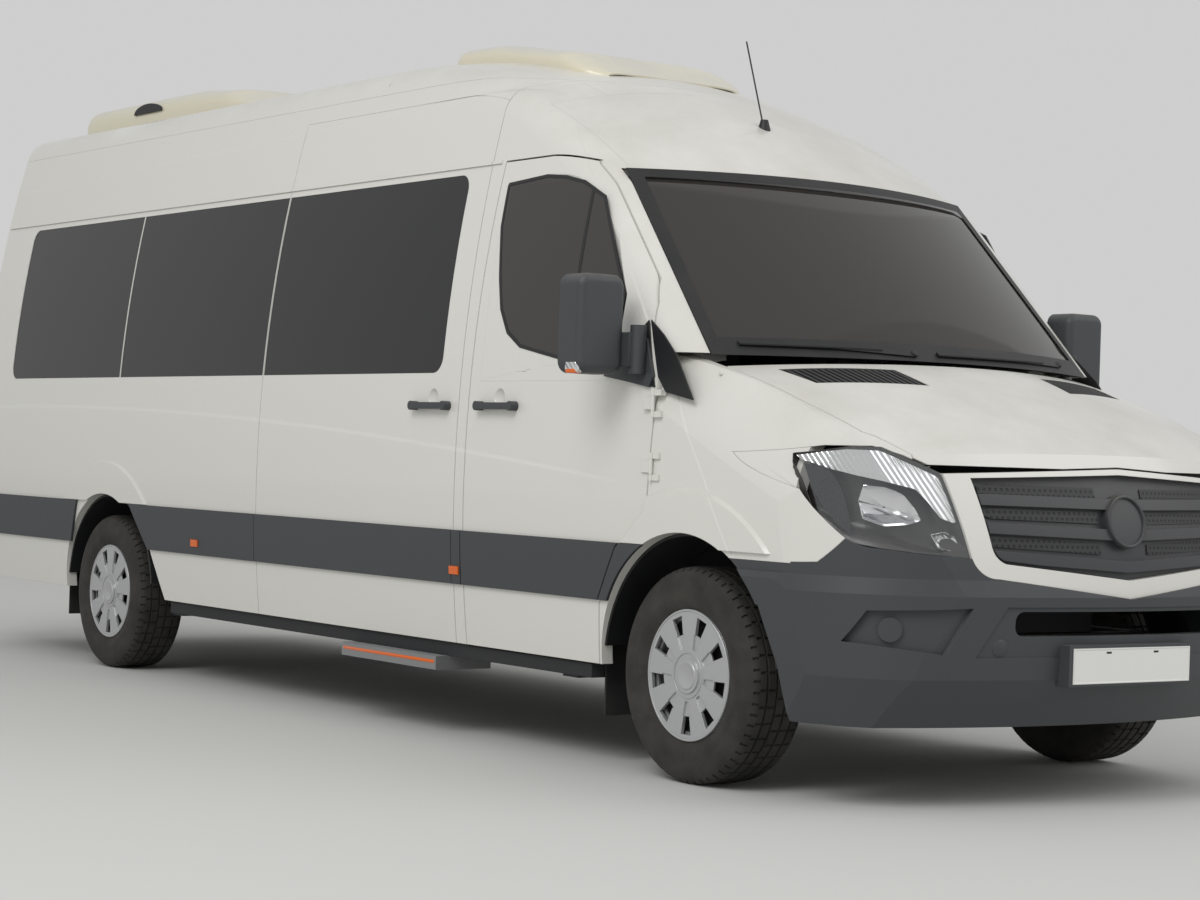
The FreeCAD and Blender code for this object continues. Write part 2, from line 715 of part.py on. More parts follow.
# Dent round the fog lamp blank, and the middle field with its air slot
FOG = [(-921, 512), (-877, 607), (-600, 621), (-675, 480)]
FOG_CENTRE = V(3271, -822, 552)
FOG_TURN = 38
FOG_R = 37
FOG_DEPTH = 12
MIDDLE = [(-579, 472), (-485, 625), (485, 625), (579, 472)]
SLOT = (-450, 450, 537, 612)
# Bumper's edge behind the front wheel, (X, Z)
FRONT_ARCH_EDGE = [(2600, 600), (2850, 600), (2935, 420), (2985, 200), (2500, 200)]
HOOD_GAP = 5.5


def across(path, gap=0):
    return grown(path, on_yz(2600), V(1000, 0, 0), gap)


def hood_zone(gap):
    side = [(x, y + gap) for x, y in HOOD_SIDE]
    front = 3130 + gap
    right = [(x, -y) for x, y in side]
    path = right + [(front, -780 - gap), (NOSE_X, -690), (NOSE_X, 690), (front, 780 + gap)]
    return prism(path + side[::-1], on_xy(HOOD_FRONT_Z - gap), V(0, 0, 500))


HOOD_REAR_R = 1900
HOOD_REAR_X = 2690


def cowl_line(offset):
    x = HOOD_REAR_X + offset
    return Part.makeCylinder(HOOD_REAR_R, 1000, V(x - HOOD_REAR_R, 0, 900), V(0, 0, 1))


def vent_path(gap):
    # Louvred field near the windscreen, (X, Y)
    return wire([(2593, -728), (2715, -331), (2874, -319), (2754, -696)],
                on_xy(HOOD_FRONT_Z)).makeOffset2D(gap, 2)


def vent_zone(gap):
    return Part.Face(vent_path(gap)).extrude(V(0, 0, 500))


def hood():
    shape = NOSE_SHELL.common(hood_zone(0)).cut(cowl_line(2))
    shape = shape.cut(across(SURROUND, HOOD_GAP)).cut(lamps_zone(HOOD_GAP))
    x, z = HOOD_PIVOT
    for side in SIDES:
        shape = shape.cut(on_side(vent_zone(SEAT_GAP), side))
        shape = shape.cut(rod(V(x, side * 900, z), V(x, side * 815, z), HOOD_PIN_R + SEAT_GAP))
    return shape


VENT_SLATS = 19


def hood_vents():
    # A tray with thin louvres that lean along the car
    y0, y1 = -735, -312
    pitch = (y1 - y0) / VENT_SLATS
    field = hood_skin(3).cut(hood_skin(14)).common(vent_zone(-1))
    tray = hood_skin(12).cut(hood_skin(20)).common(vent_zone(0))
    cuts = [box(2500, 2950, y0 + pitch * i, y0 + pitch * (i + 0.45), 1200, 1500)
            for i in range(VENT_SLATS)]
    rim = hood_skin(2).cut(hood_skin(14)).common(vent_zone(0).cut(vent_zone(-7)))
    louvres = field.cut(Part.Compound(cuts)).common(vent_zone(-6.5))
    return group(both(tray.fuse([louvres, rim]).removeSplitter()))


def lamps_zone(gap):
    lamp = across(LAMP, gap)
    return lamp.fuse(mirrored(lamp))


def peak_zone(gap):
    shape = across(BUMPER_PEAK, gap)
    low = BUMPER_BANDS[-1][0]
    return shape.fuse(mirrored(shape)).common(box(2990, NOSE_X + 10, -1100, 1100, low, 900))


def front_wings():
    zone = box(1985, NOSE_X, -1100, -500, BUMPER_TOP_Z, 1500)
    leg = box(1985, 2300, -1100, -900, SILL_Z, BUMPER_TOP_Z + 1)
    shape = NOSE_SHELL.common(zone.fuse(leg).removeSplitter()).cut(hood_zone(HOOD_GAP))
    shape = shape.fuse(flare(FRONT_AXLE_X, FRONT_ARCH_R, MOULDING_Z[1] + 2).common(zone))
    shape = shape.cut(front_door_zone(FRONT_DOOR, DOOR_GAP, PILLAR_W))
    shape = shape.cut(lamps_zone(SEAT_GAP)).cut(across(SURROUND, SEAT_GAP))
    shape = shape.cut(peak_zone(SEAT_GAP))
    shape = shape.cut(wheel_hole(FRONT_AXLE_X, FRONT_ARCH_R)).cut(box(1900, NOSE_X, -700, 0, 0, 1500))
    shape = shape.cut(box(1985, 2420, -1100, -780, 1385, 1600))
    x, z = HOOD_PIVOT
    shape = shape.fuse(rod(V(x, -895, z), V(x, -820, z), HOOD_PIN_R))
    for low in FRONT_HINGE_Z:
        for piece in front_hinge(low, False):
            shape = shape.fuse(piece)
    return group(both(shape))


def headlamps():
    shape = NOSE_SHELL.common(across(LAMP))
    return group(both(shape.cut(across(SURROUND, SEAT_GAP))))


def grille_surround():
    return NOSE_SHELL.common(across(SURROUND)).cut(across(MESH))


GRILLE_DEPTH = 25
# Slats: height at the ends and in the middle
SLATS = [(948, 940), (866, 845), (785, 748)]
BOSS_Z = 888
BOSS_R = 84


def grille():
    # Three wide slats with a shallow V, in front of a backing sheet, and a plain boss
    sheet = nose_skin(GRILLE_DEPTH).cut(nose_skin(NOSE_T)).common(across(MESH, -GLASS_FIT))
    layer = nose_skin(6).cut(nose_skin(GRILLE_DEPTH + 1)).common(across(MESH, -10))
    slats = []
    for end_z, mid_z in SLATS:
        path = [(-650, end_z - 17), (-650, end_z + 17), (0, mid_z + 17), (650, end_z + 17),
                (650, end_z - 17), (0, mid_z - 17)]
        slats.append(layer.common(across(path)))
    z = BOSS_Z
    boss = rod(V(NOSE_X - 80, 0, z), V(NOSE_X - 30, 0, z), BOSS_R)
    boss = boss.common(nose_skin(2)).cut(nose_skin(GRILLE_DEPTH + 1))
    return fused([sheet] + slats + [boss])


PLATE = (520, 110)
PLATE_T = 3
PLATE_Z = 448
# Rear plate's middle, (|Y|, Z)
REAR_PLATE = (400, 760)


def front_bumper():
    bands = [nose_band(z0, a, z1, b) for (z0, a), (z1, b) in zip(BUMPER_BANDS, BUMPER_BANDS[1:])]
    top = box(2690, NOSE_X + 10, -1100, 1100, BUMPER_BANDS[-1][0], BUMPER_TOP_Z - SEAT_GAP)
    upper = NOSE_SHELL.common(top.fuse(peak_zone(0)).removeSplitter())
    shape = fused(bands).cut(nose_form(NOSE_T, BUMPER_FOOT_Z - 50)).fuse(upper)
    shape = shape.cut(lamps_zone(SEAT_GAP))
    shape = shape.cut(across(SURROUND, SEAT_GAP)).cut(box(1800, 2700, -1200, 1200, 0, 900))
    shape = shape.cut(across(MIDDLE).cut(NOSE))
    dent = nose_form(FOG_DEPTH, BUMPER_FOOT_Z)
    turn = math.radians(FOG_TURN)
    out = V(math.cos(turn), -math.sin(turn), 0)
    blank = rod(FOG_CENTRE - out * 60, FOG_CENTRE + out * 60, FOG_R).common(NOSE_SHELL)
    arch = wheel_hole(FRONT_AXLE_X, FRONT_ARCH_R).fuse(side_prism(FRONT_ARCH_EDGE))
    for side in SIDES:
        shape = shape.cut(on_side(arch, side)).cut(on_side(across(FOG), side).cut(dent))
        shape = shape.fuse(on_side(blank, side))
    shape = shape.cut(across(rounded(*SLOT, 30)))
    # Flat seat for the number plate
    pad = box(3400, NOSE_X - PLATE_T - SEAT_GAP, -PLATE[0] / 2 - 15, PLATE[0] / 2 + 15,
              PLATE_Z - PLATE[1] / 2 - 8, PLATE_Z + PLATE[1] / 2 + 8)
    return shape.fuse(pad)


def number_plate():
    return box(NOSE_X - PLATE_T, NOSE_X, -PLATE[0] / 2, PLATE[0] / 2,
               PLATE_Z - PLATE[1] / 2, PLATE_Z + PLATE[1] / 2)


def windscreen():
    return CAB_GLASS.common(screen_prism(-GLASS_FIT))


def scuttle():
    # Cowl tray under the slot between hood and windscreen, lying on the bulkhead
    low = BULKHEAD_TOP + SEAT_GAP
    tray = box(BULKHEAD_X + 10, 2690, -560, 560, low, low + 12)
    return tray.common(nose_form(NOSE_T + 10, BUMPER_FOOT_Z))


BULKHEAD_X = 2330
BULKHEAD_TOP = 1310


def bulkhead():
    plate = box(BULKHEAD_X, BULKHEAD_X + 30, -835, 835, CAB_FLOOR_Z - FLOOR_T, BULKHEAD_TOP)
    for side in SIDES:
        plate = plate.cut(on_side(wheel_hole(FRONT_AXLE_X, FRONT_ARCH_R + HOUSE_T, 470), side))
    return plate.cut(tunnel(TUNNEL_R + HOUSE_T))


TUNNEL_R = 225
TUNNEL_Z = 460
HOUSE_T = 15


def tunnel(radius):
    return rod(V(1650, 0, TUNNEL_Z), V(BULKHEAD_X + 40, 0, TUNNEL_Z), radius)


def floor():
    under = FLOOR_Z - FLOOR_T
    inside = REAR_FACE_X + PANEL_T + SEAT_GAP
    tail = box(inside, inside + 70, -852, 852, under, FLOOR_Z)
    rear = box(inside + 66, B_PILLAR_X, -FLOOR_HALF, FLOOR_HALF, under, FLOOR_Z).fuse(tail)
    cab = box(B_PILLAR_X, BULKHEAD_X, -CAB_FLOOR_HALF, CAB_FLOOR_HALF, CAB_FLOOR_Z - FLOOR_T,
              CAB_FLOOR_Z)
    x0, x1 = SLIDING_X[0] + 60, SLIDING_X[1] - 60
    well = box(x0, x1, -FLOOR_HALF - 5, -560, under - 5, FLOOR_Z + 5)
    tread = box(x0, x1, -900, -560, SILL_Z, SILL_Z + 30)
    riser = box(x0, x1, -560, -540, SILL_Z, under)
    shape = rear.fuse(cab).cut(well).fuse(tread).fuse(riser).cut(tunnel(TUNNEL_R))
    cover = tunnel(TUNNEL_R + HOUSE_T).cut(tunnel(TUNNEL_R))
    shape = shape.fuse(cover.common(box(1000, BULKHEAD_X, -300, 300, CAB_FLOOR_Z - FLOOR_T, 900)))
    houses = []
    inner = 470
    x = FRONT_AXLE_X
    r = FRONT_ARCH_R
    for side in SIDES:
        shape = shape.cut(on_side(wheel_hole(REAR_AXLE_X, REAR_ARCH_R, 560), side))
        shape = shape.cut(on_side(wheel_hole(x, r, inner), side))
        band = tube(V(x, -880, AXLE_Z), V(x, -inner, AXLE_Z), r + HOUSE_T, r)
        wall = rod(V(x, -inner, AXLE_Z), V(x, -inner + HOUSE_T, AXLE_Z), r + HOUSE_T)
        zone = box(1900, BULKHEAD_X, -880, 0, CAB_FLOOR_Z - FLOOR_T, 900)
        houses.append(on_side(band.fuse(wall).common(zone), side))
    return group([fused([shape] + houses)] + both(sill()))


# Jacking pads under the sill: middle X
JACK_X = (-1180, 1800)
JACK = (90, 50, 8)


def sill():
    # Ledge under the doors, lower where the cab door swings over it
    z = SILL_FOOT_Z
    rear = box(-1240, B_PILLAR_X - 3, -940, -880, z, SILL_Z - SEAT_GAP)
    front = box(B_PILLAR_X - 4, 1930, -940, -880, z, SILL_Z - DOOR_GAP)
    pads = [box(x - JACK[0] / 2, x + JACK[0] / 2, -910 - JACK[1] / 2, -910 + JACK[1] / 2,
                z - JACK[2], z + 1) for x in JACK_X]
    return fused([rear, front] + pads)


def arch_liners():
    # Bands over the tyres; the rear ones are closed by a wall inside
    pieces = []
    for x, arch, inner in ((FRONT_AXLE_X, FRONT_ARCH_R, -730), (REAR_AXLE_X, REAR_ARCH_R, -560)):
        r = arch - GLASS_FIT
        shape = tube(V(x, LINER_Y, AXLE_Z), V(x, inner, AXLE_Z), r, r - LINER_T)
        if x == REAR_AXLE_X:
            shape = shape.fuse(rod(V(x, inner - LINER_T, AXLE_Z), V(x, inner, AXLE_Z), r))
        low = box(x - 600, x + 600, -1000, -500, -200, AXLE_Z + 60)
        pieces += both(shape.cut(low))
    return group(pieces)


def side_mouldings():
    # Rubbing strips on the fixed panels and the sliding door, with its handle
    rear = REAR_FACE_X + 100
    behind = [(rear, 500), (rear, 800), (-2140, 800), (-2241, 500)]
    ahead = [(-1635, 800), (-1347, 500), (SLIDING_X[0] - SEAM, 500), (SLIDING_X[0] - SEAM, 800)]
    band = moulding_band(rear, SLIDING_X[0] - SEAM)
    pieces = [band.common(side_prism(behind)), band.common(side_prism(ahead))]
    pieces.append(moulding_band(*SLIDING_X))
    pieces.append(moulding_band(SLIDING_X[1] + SEAM, B_PILLAR_X - SEAM))
    trim = moulding_band(1990, 2330).cut(front_door_zone(FRONT_DOOR, DOOR_GAP, PILLAR_W))
    pieces.append(trim.cut(wheel_hole(FRONT_AXLE_X, FRONT_ARCH_R)))
    right = group(pieces)
    return group([right, mirrored(right), handle(*SLIDE_HANDLE)])


def marker_lamps():
    z0, z1 = 595, 625
    outer = section_block(-MOULDING_T - 5, TAIL_X, B_PILLAR_X, z0, z1)
    skin = outer.cut(section_block(-MOULDING_T - SEAT_GAP, TAIL_X - 50, B_PILLAR_X + 50, z0 - 50,
                                   z1 + 50))
    pieces = []
    for x in (-940, B_PILLAR_X - 40):
        pieces += both(skin.common(box(x - 30, x + 30, -1100, -900, z0, z1)))
    return group(pieces)


def rear_bumper():
    back = REAR_FACE_X - 4
    path = [(back, -940), (TAIL_X + 32, -940), ((TAIL_X + 9, -931), (TAIL_X, -908)),
            (TAIL_X, 908), ((TAIL_X + 9, 931), (TAIL_X + 32, 940)), (back, 940)]
    top = REAR_DOOR_Z[0] - 30
    bar = prism(path, on_xy(380), V(0, 0, top - 380))
    ends = both(box(back, REAR_FACE_X + 160 - SEAT_GAP, -960, -900, 380, top))
    return fused([bar] + ends)


def tail_lamps():
    return group(both(REAR_SHELL.common(tail_lamp_zone(0)).cut(rear_opening(DOOR_GAP))))


def roof_z(x):
    return ROOF_Z - ROOF_R + math.sqrt(ROOF_R ** 2 - max(0, x - CAP_START_X) ** 2)


def below_roof(gap):
    centre = V(CAP_START_X, 0, ROOF_Z - ROOF_R)
    back = Part.makeCylinder(ROOF_R + gap, CAP_START_X - TAIL_X, centre, V(-1, 0, 0))
    return back.fuse(Part.makeSphere(ROOF_R + gap, centre))


def pod(side_path, half, top):
    # Rounded from the front and from above as well
    x0 = min(p[0] if not isinstance(p[0], tuple) else p[1][0] for p in side_path)
    x1 = max(p[0] if not isinstance(p[0], tuple) else p[1][0] for p in side_path)
    front = [(-half, 2400), (-half, top - 105), ((-half + 28, top - 38), (-half + 105, top)),
             (half - 105, top), ((half - 28, top - 38), (half, top - 105)), (half, 2400)]
    shape = prism(side_path, on_xz(-half), V(0, 2 * half, 0))
    shape = shape.common(prism(front, on_yz(x0 - 1), V(x1 - x0 + 2, 0, 0)))
    shape = shape.common(prism(rounded(x0, x1, 6 - half, half - 6, 130), on_xy(2400),
                               V(0, 0, 500)))
    return shape.cut(below_roof(SEAT_GAP))


def air_con_pods():
    front = [(-590, 2450), (-560, 2660), ((-480, 2735), (-300, 2752)), (0, 2745), (640, 2660),
             (900, 2450)]
    tail = REAR_FACE_X
    rear = [(tail + 65, 2450), (tail + 95, 2660), ((tail + 160, 2725), (tail + 300, 2745)),
            (tail + 1735, 2735), ((tail + 2000, 2690), (tail + 2135, 2450))]
    return group([pod(front, 520, 2752), pod(rear, 460, 2745)])


def aerial():
    x = 1600
    base = Part.makeCone(30, 14, 60, V(x, 0, roof_z(x) - 30))
    whip = rod(V(x - 10, 0, roof_z(x) + 20), V(x - 120, 0, 2600), 3)
    return base.fuse(whip).cut(below_roof(SEAT_GAP))


def side_step():
    return box(360, 1040, -1000, -760, 242, 292 - SEAT_GAP)


def mud_flaps():
    front = box(1938, 1946, -890, -720, 165, CAB_FLOOR_Z - FLOOR_T - SEAT_GAP)
    rear = box(-2425, -2417, -890, -720, 205, FLOOR_Z - FLOOR_T - SEAT_GAP)
    return group(both(front) + both(rear))


# Running gear

# Steering pivot: its ends as (Y, Z)
KINGPIN_FOOT = (-745, 300)
KINGPIN_HEAD = (-600, 880)
KINGPIN_R = 25
KINGPIN_SINK = 14
ARM_R = 36
SPRING_Z = (388, 428)
RAIL_Y = 420
RAIL_Z = (430, 520)


def kingpin(radius, gap):
    # Steering pivot, longer at both ends by a gap
    x = FRONT_AXLE_X
    foot = V(x, *KINGPIN_FOOT)
    head = V(x, *KINGPIN_HEAD)
    along = (head - foot).normalize()
    return rod(foot - along * (KINGPIN_SINK + gap), head + along * (KINGPIN_SINK + gap), radius)


def chassis():
    # Two long rails with cross members, spring eyes, and the front arms with their sockets
    z0, z1 = RAIL_Z
    tail = REAR_FACE_X + 135
    rail = box(tail, 3130, -RAIL_Y - 35, -RAIL_Y + 35, z0, z1)
    pieces = both(rail)
    for x in (tail + 100, -2500, -1200, -400, 600, 1500, 3100):
        pieces.append(box(x - 30, x + 30, -RAIL_Y, RAIL_Y, z1 - 24, z1 - 2))
    for s in SIDES:
        x = REAR_AXLE_X + s * 650
        pieces += both(box(x - 25, x + 25, -545, -RAIL_Y - 30, SPRING_Z[1] + SEAT_GAP, z1 - 10))
    x = FRONT_AXLE_X
    pieces.append(box(x - 120, x + 120, -480, 480, 225, 279))
    posts = both(box(x - 60, x + 60, -455, -385, 270, z0 + 5))
    low = V(x, KINGPIN_FOOT[0] - 3, 262)
    arms = both(box(x - ARM_R, x + ARM_R, low.y, -470, low.z, KINGPIN_FOOT[1]))
    arms += both(rod(low, low + V(0, 0, KINGPIN_FOOT[1] - low.z), ARM_R))
    walls = both(box(x - 90, x + 90, -470, -455, z0, KINGPIN_HEAD[1] + 25))
    caps = both(box(x - 90, x + 90, KINGPIN_HEAD[0] - 60, -455, KINGPIN_HEAD[1],
                    KINGPIN_HEAD[1] + 25))
    shape = fused(pieces + posts + arms + walls + caps)
    for side in SIDES:
        shape = shape.cut(on_side(kingpin(KINGPIN_R + SEAT_GAP, SEAT_GAP), side))
    return shape


def power_train():
    engine = box(2380, 3060, -260, 260, 400, 1050)
    gearbox = Part.makeCone(180, 110, 600, V(2385, 0, TUNNEL_Z), V(-1, 0, 0))
    shaft = rod(V(1790, 0, TUNNEL_Z), V(REAR_AXLE_X + 150 + SEAT_GAP, 0, AXLE_Z + 10), 38)
    mounts = both(box(2650, 2750, -RAIL_Y + 35 + SEAT_GAP, -255, 440, 500))
    return fused([engine, gearbox, shaft.cut(Part.makeSphere(150 + SEAT_GAP,
                                                             V(REAR_AXLE_X, 0, AXLE_Z)))] + mounts)


def rear_axle():
    end = -TRACK / 2 - 8 + SEAT_GAP
    beam = rod(V(REAR_AXLE_X, end, AXLE_Z), V(REAR_AXLE_X, -end, AXLE_Z), 45)
    bulb = Part.makeSphere(150, V(REAR_AXLE_X, 0, AXLE_Z))
    springs = both(box(REAR_AXLE_X - 680, REAR_AXLE_X + 680, -545, -485, *SPRING_Z))
    return fused([beam, bulb] + springs)


def exhaust():
    box_ = rod(V(-500, 250, 380), V(200, 250, 380), 90)
    pipe = rod(V(200, 250, 380), V(2300, 250, 380), 30)
    tail = rod(V(-500, 250, 380), V(-1500, 250, 330), 30)
    hanger = box(-415, -385, 235, 265, 440, RAIL_Z[1] - 24 - SEAT_GAP)
    return fused([box_, pipe, tail, hanger])


def fuel_tank():
    inner = -RAIL_Y + 35 + SEAT_GAP
    return box(-300, 500, inner, -60, 300, 490)


def spare_wheel():
    top = RAIL_Z[1] - 24 - SEAT_GAP
    low = top - TYRE_W
    x = REAR_FACE_X + 585
    body = tube(V(x, 0, low), V(x, 0, top), TYRE_R - 10, 150)
    return body.fuse(rod(V(x, 0, low + 90), V(x, 0, low + 120), 155))


def tyre(x, side):
    # Half section as (across, radius), closed by its mirror image
    w = TYRE_W / 2
    r0, r1 = RIM_R, TYRE_R
    half = [(w - 35, r0), (w - 12, r0 + 24), (w, r0 + 66), (w - 9, r1 - 32), (w - 22, r1 - 9),
            (w - 50, r1)]
    path = half + [(-u, v) for u, v in half[::-1]]
    face = Part.Face(wire(path, lambda u, v: V(x, side * TRACK / 2 + u, AXLE_Z + v)))
    return face.revolve(V(x, 0, AXLE_Z), V(0, 1, 0), 360)


def wheel(x, side):
    # Rim with its disc and the nine-spoke cover that hides it, drawn for the right side
    w = RIM_W / 2
    y = -TRACK / 2
    hub_y = y - 8
    rim = tube(V(x, y - w, AXLE_Z), V(x, y + w, AXLE_Z), RIM_R - GLASS_FIT, RIM_R - 18)
    disc = rod(V(x, y - 30, AXLE_Z), V(x, hub_y, AXLE_Z), RIM_R - 10)
    face_y = -COVER_FACE
    cover = Part.makeCone(COVER_R, COVER_R - 9, 9, V(x, face_y + 9, AXLE_Z), V(0, -1, 0))
    cover = cover.fuse(rod(V(x, face_y + 8.9, AXLE_Z), V(x, face_y + COVER_DEPTH, AXLE_Z), COVER_R))
    r0, r1 = COVER_HOLE_R
    w0, w1 = COVER_HOLE_W
    for i in range(COVER_SPOKES):
        hole = prism([(x - w0, AXLE_Z + r0), (x - w1, AXLE_Z + r1), (x + w1, AXLE_Z + r1),
                      (x + w0, AXLE_Z + r0)], on_xz(face_y - 10), V(0, 40, 0))
        dish = prism([(x - 9, AXLE_Z + 84), (x - w0 - 4, AXLE_Z + r0), (x + w0 + 4, AXLE_Z + r0),
                      (x + 9, AXLE_Z + 84)], on_xz(face_y - 10), V(0, 15, 0))
        for piece in (hole, dish):
            piece.rotate(V(x, 0, AXLE_Z), V(0, 1, 0), 360 / COVER_SPOKES * (i + 0.5))
            cover = cover.cut(piece)
    hub = rod(V(x, face_y - 5, AXLE_Z), V(x, y - 20, AXLE_Z), 58)
    return on_side(fused([rim, disc, cover, hub]), side)


def knuckle(side):
    # Stub axle, brake disc and upright, with the strut that turns with them
    x = FRONT_AXLE_X
    y = -TRACK / 2
    stub = rod(V(x, y - 8 + SEAT_GAP, AXLE_Z), V(x, -735, AXLE_Z), 44)
    disc = rod(V(x, y + 20, AXLE_Z), V(x, y + 45, AXLE_Z), 150)
    upright = box(x - 40, x + 40, KINGPIN_FOOT[0] - 15, KINGPIN_FOOT[0] + 55,
                  KINGPIN_FOOT[1] + 15, 520)
    return on_side(fused([stub, disc, upright, kingpin(KINGPIN_R, 0)]), side)


# Cab and cabin

STEER_Y = 430
STEER_TILT = 40
STEER_CENTRE = V(1850, STEER_Y, 1150)
STEER_AXIS = V(-math.cos(math.radians(STEER_TILT)), 0, math.sin(math.radians(STEER_TILT)))


def dashboard():
    path = [(BULKHEAD_X - SEAT_GAP, 900), (2050, 930), ((1960, 1050), (2000, 1180)),
            (2120, 1240), (BULKHEAD_X - SEAT_GAP, 1270)]
    panel = prism(path, on_xz(-835), V(0, 1670, 0))
    start = STEER_CENTRE - STEER_AXIS * (15 + SEAT_GAP)
    return panel.fuse(Part.makeCylinder(42, 260, start, STEER_AXIS * -1)).removeSplitter()


def steering_wheel():
    centre = STEER_CENTRE
    down = V(-STEER_AXIS.z, 0, STEER_AXIS.x)
    # Eight-sided rim, revolved about the column
    turns = [math.radians(45 * i + 22.5) for i in range(8)]
    path = [(190 + 15 * math.cos(t), 15 * math.sin(t)) for t in turns]
    face = Part.Face(wire(path, lambda u, v: centre + down * u + STEER_AXIS * v))
    rim = face.revolve(centre, STEER_AXIS, 360)
    boss = Part.makeCylinder(60, 30, centre - STEER_AXIS * 15, STEER_AXIS)
    bars = [Part.makeCylinder(12, 190, centre, d) for d in (V(0, 1, 0), V(0, -1, 0), down)]
    return fused([rim, boss] + bars)


SEAT_W = 430
# Cabin rows: cushion's front X, with a seat on the right
ROWS = [(-100, False), (-780, True), (-1460, True), (-2140, True), (REAR_FACE_X + 615, True)]


def seat(x, y, floor_z, feet, back=660):
    half = SEAT_W / 2 - 5
    base = floor_z + 330
    cushion = box(x - 430, x, y - half, y + half, base, base + 120)
    rest = prism([(x - 430, base + 110), (x - 530, base + 110 + back), (x - 430, base + 110 + back),
                  (x - 340, base + 121)], on_xz(y - half), V(0, 2 * half, 0))
    foot = box(x - 380, x - 60, feet[0], feet[1], floor_z + SEAT_GAP, base + 1)
    return fused([cushion, rest, foot])


def passenger_seats():
    seats = []
    for x, right in ROWS:
        places = [(205, (60, 350)), (640, (440, 540))] + ([(-640, (-540, -440))] if right else [])
        for y, feet in places:
            seats.append(seat(x, y, FLOOR_Z, feet))
    return group(seats)


def front_seats():
    seats = []
    for y in (STEER_Y, -STEER_Y):
        seats.append(seat(1680, y, CAB_FLOOR_Z, (y - 150, y + 150)))
    return group(seats)


NODES = {
    "floor": floor, "roof": roof, "cab_frame": cab_frame, "front_wings": front_wings,
    "body_side_right": lambda: body_side(-1), "body_side_left": lambda: body_side(1),
    "headlamps": headlamps, "grille_surround": grille_surround, "grille": grille,
    "front_bumper": front_bumper, "number_plate": number_plate, "windscreen": windscreen,
    "scuttle": scuttle, "bulkhead": bulkhead, "side_glass": side_glass,
    "sliding_door": sliding_door, "sliding_door_glass": sliding_door_glass,
    "side_mouldings": side_mouldings, "marker_lamps": marker_lamps, "rear_bumper": rear_bumper,
    "tail_lamps": tail_lamps, "air_con_pods": air_con_pods, "aerial": aerial,
    "side_step": side_step, "mud_flaps": mud_flaps, "arch_liners": arch_liners,
    "chassis": chassis, "rear_axle": rear_axle, "power_train": power_train,
    "exhaust": exhaust, "fuel_tank": fuel_tank, "spare_wheel": spare_wheel,
    "dashboard": dashboard, "steering_wheel": steering_wheel, "front_seats": front_seats,
    "passenger_seats": passenger_seats, "hood": hood, "hood_vents": hood_vents,
}
for name, side in (("right", -1), ("left", 1)):
    NODES["front_door_" + name] = lambda s=side: front_door(s)
    NODES["front_door_" + name + "_glass"] = lambda s=side: front_door_glass(s)
    NODES["front_door_" + name + "_fittings"] = lambda s=side: front_door_fittings(s)
    NODES["rear_door_" + name] = lambda s=side: rear_door(s)
    NODES["rear_door_" + name + "_glass"] = lambda s=side: rear_door_glass(s)
    NODES["knuckle_" + name] = lambda s=side: knuckle(s)
    for end, x in (("front", FRONT_AXLE_X), ("rear", REAR_AXLE_X)):
        NODES["tyre_" + end + "_" + name] = lambda p=x, s=side: tyre(p, s)
        NODES["wheel_" + end + "_" + name] = lambda p=x, s=side: wheel(p, s)

os.makedirs("parts", exist_ok=True)
for node, make in NODES.items():
    shape = make()
    shape.translate(V(LENGTH / 2 - NOSE_X, 0, 0))
    if not shape.isValid() or not shape.Solids:
        raise RuntimeError(node + " isn't a valid solid")
    b = shape.BoundBox
    print(node, len(shape.Solids), len(shape.Faces),
          [round(v) for v in (b.XMin, b.XMax, b.YMin, b.YMax, b.ZMin, b.ZMax)])
    shape.exportStep("parts/" + node + ".step")
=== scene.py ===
# High-roof minibus: finishes, tyres, lamps, glass trim, seats and small parts round the frame
import json
import math

import bmesh
import bpy
from mathutils import Matrix, Vector


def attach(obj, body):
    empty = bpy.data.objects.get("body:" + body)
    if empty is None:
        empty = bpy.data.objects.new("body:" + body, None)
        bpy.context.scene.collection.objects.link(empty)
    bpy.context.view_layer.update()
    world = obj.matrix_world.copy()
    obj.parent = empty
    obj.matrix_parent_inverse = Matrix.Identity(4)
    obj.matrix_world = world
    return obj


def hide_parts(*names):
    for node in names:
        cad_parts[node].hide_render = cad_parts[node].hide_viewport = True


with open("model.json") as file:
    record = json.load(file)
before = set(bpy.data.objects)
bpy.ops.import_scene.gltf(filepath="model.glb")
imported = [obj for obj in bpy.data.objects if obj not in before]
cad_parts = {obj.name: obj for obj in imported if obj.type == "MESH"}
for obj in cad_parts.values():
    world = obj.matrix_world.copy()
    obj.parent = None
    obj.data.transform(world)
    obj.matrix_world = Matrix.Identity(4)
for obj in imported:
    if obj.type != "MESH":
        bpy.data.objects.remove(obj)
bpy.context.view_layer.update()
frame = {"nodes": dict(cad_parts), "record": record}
record = frame["record"]
nodes = frame["nodes"]
print("frame loaded:", len(nodes), "nodes")


# Colours are written as sRGB hex and turned to linear once here
def linear(hexColour, alpha=1.0):
    values = []
    for i in (0, 2, 4):
        c = int(hexColour[i:i + 2], 16) / 255
        values.append(c / 12.92 if c <= 0.04045 else ((c + 0.055) / 1.055) ** 2.4)
    return (*values, alpha)


# A link's source is a socket, or a node whose first output is meant
def addNode(tree, kind, settings=None, links=None):
    node = tree.nodes.new("ShaderNode" + kind)
    for key, value in (settings or {}).items():
        if isinstance(key, int) or key in node.inputs:
            node.inputs[key].default_value = value
        else:
            setattr(node, key, value)
    for key, source in (links or {}).items():
        tree.links.new(getattr(source, "outputs", [source])[0], node.inputs[key])
    return node


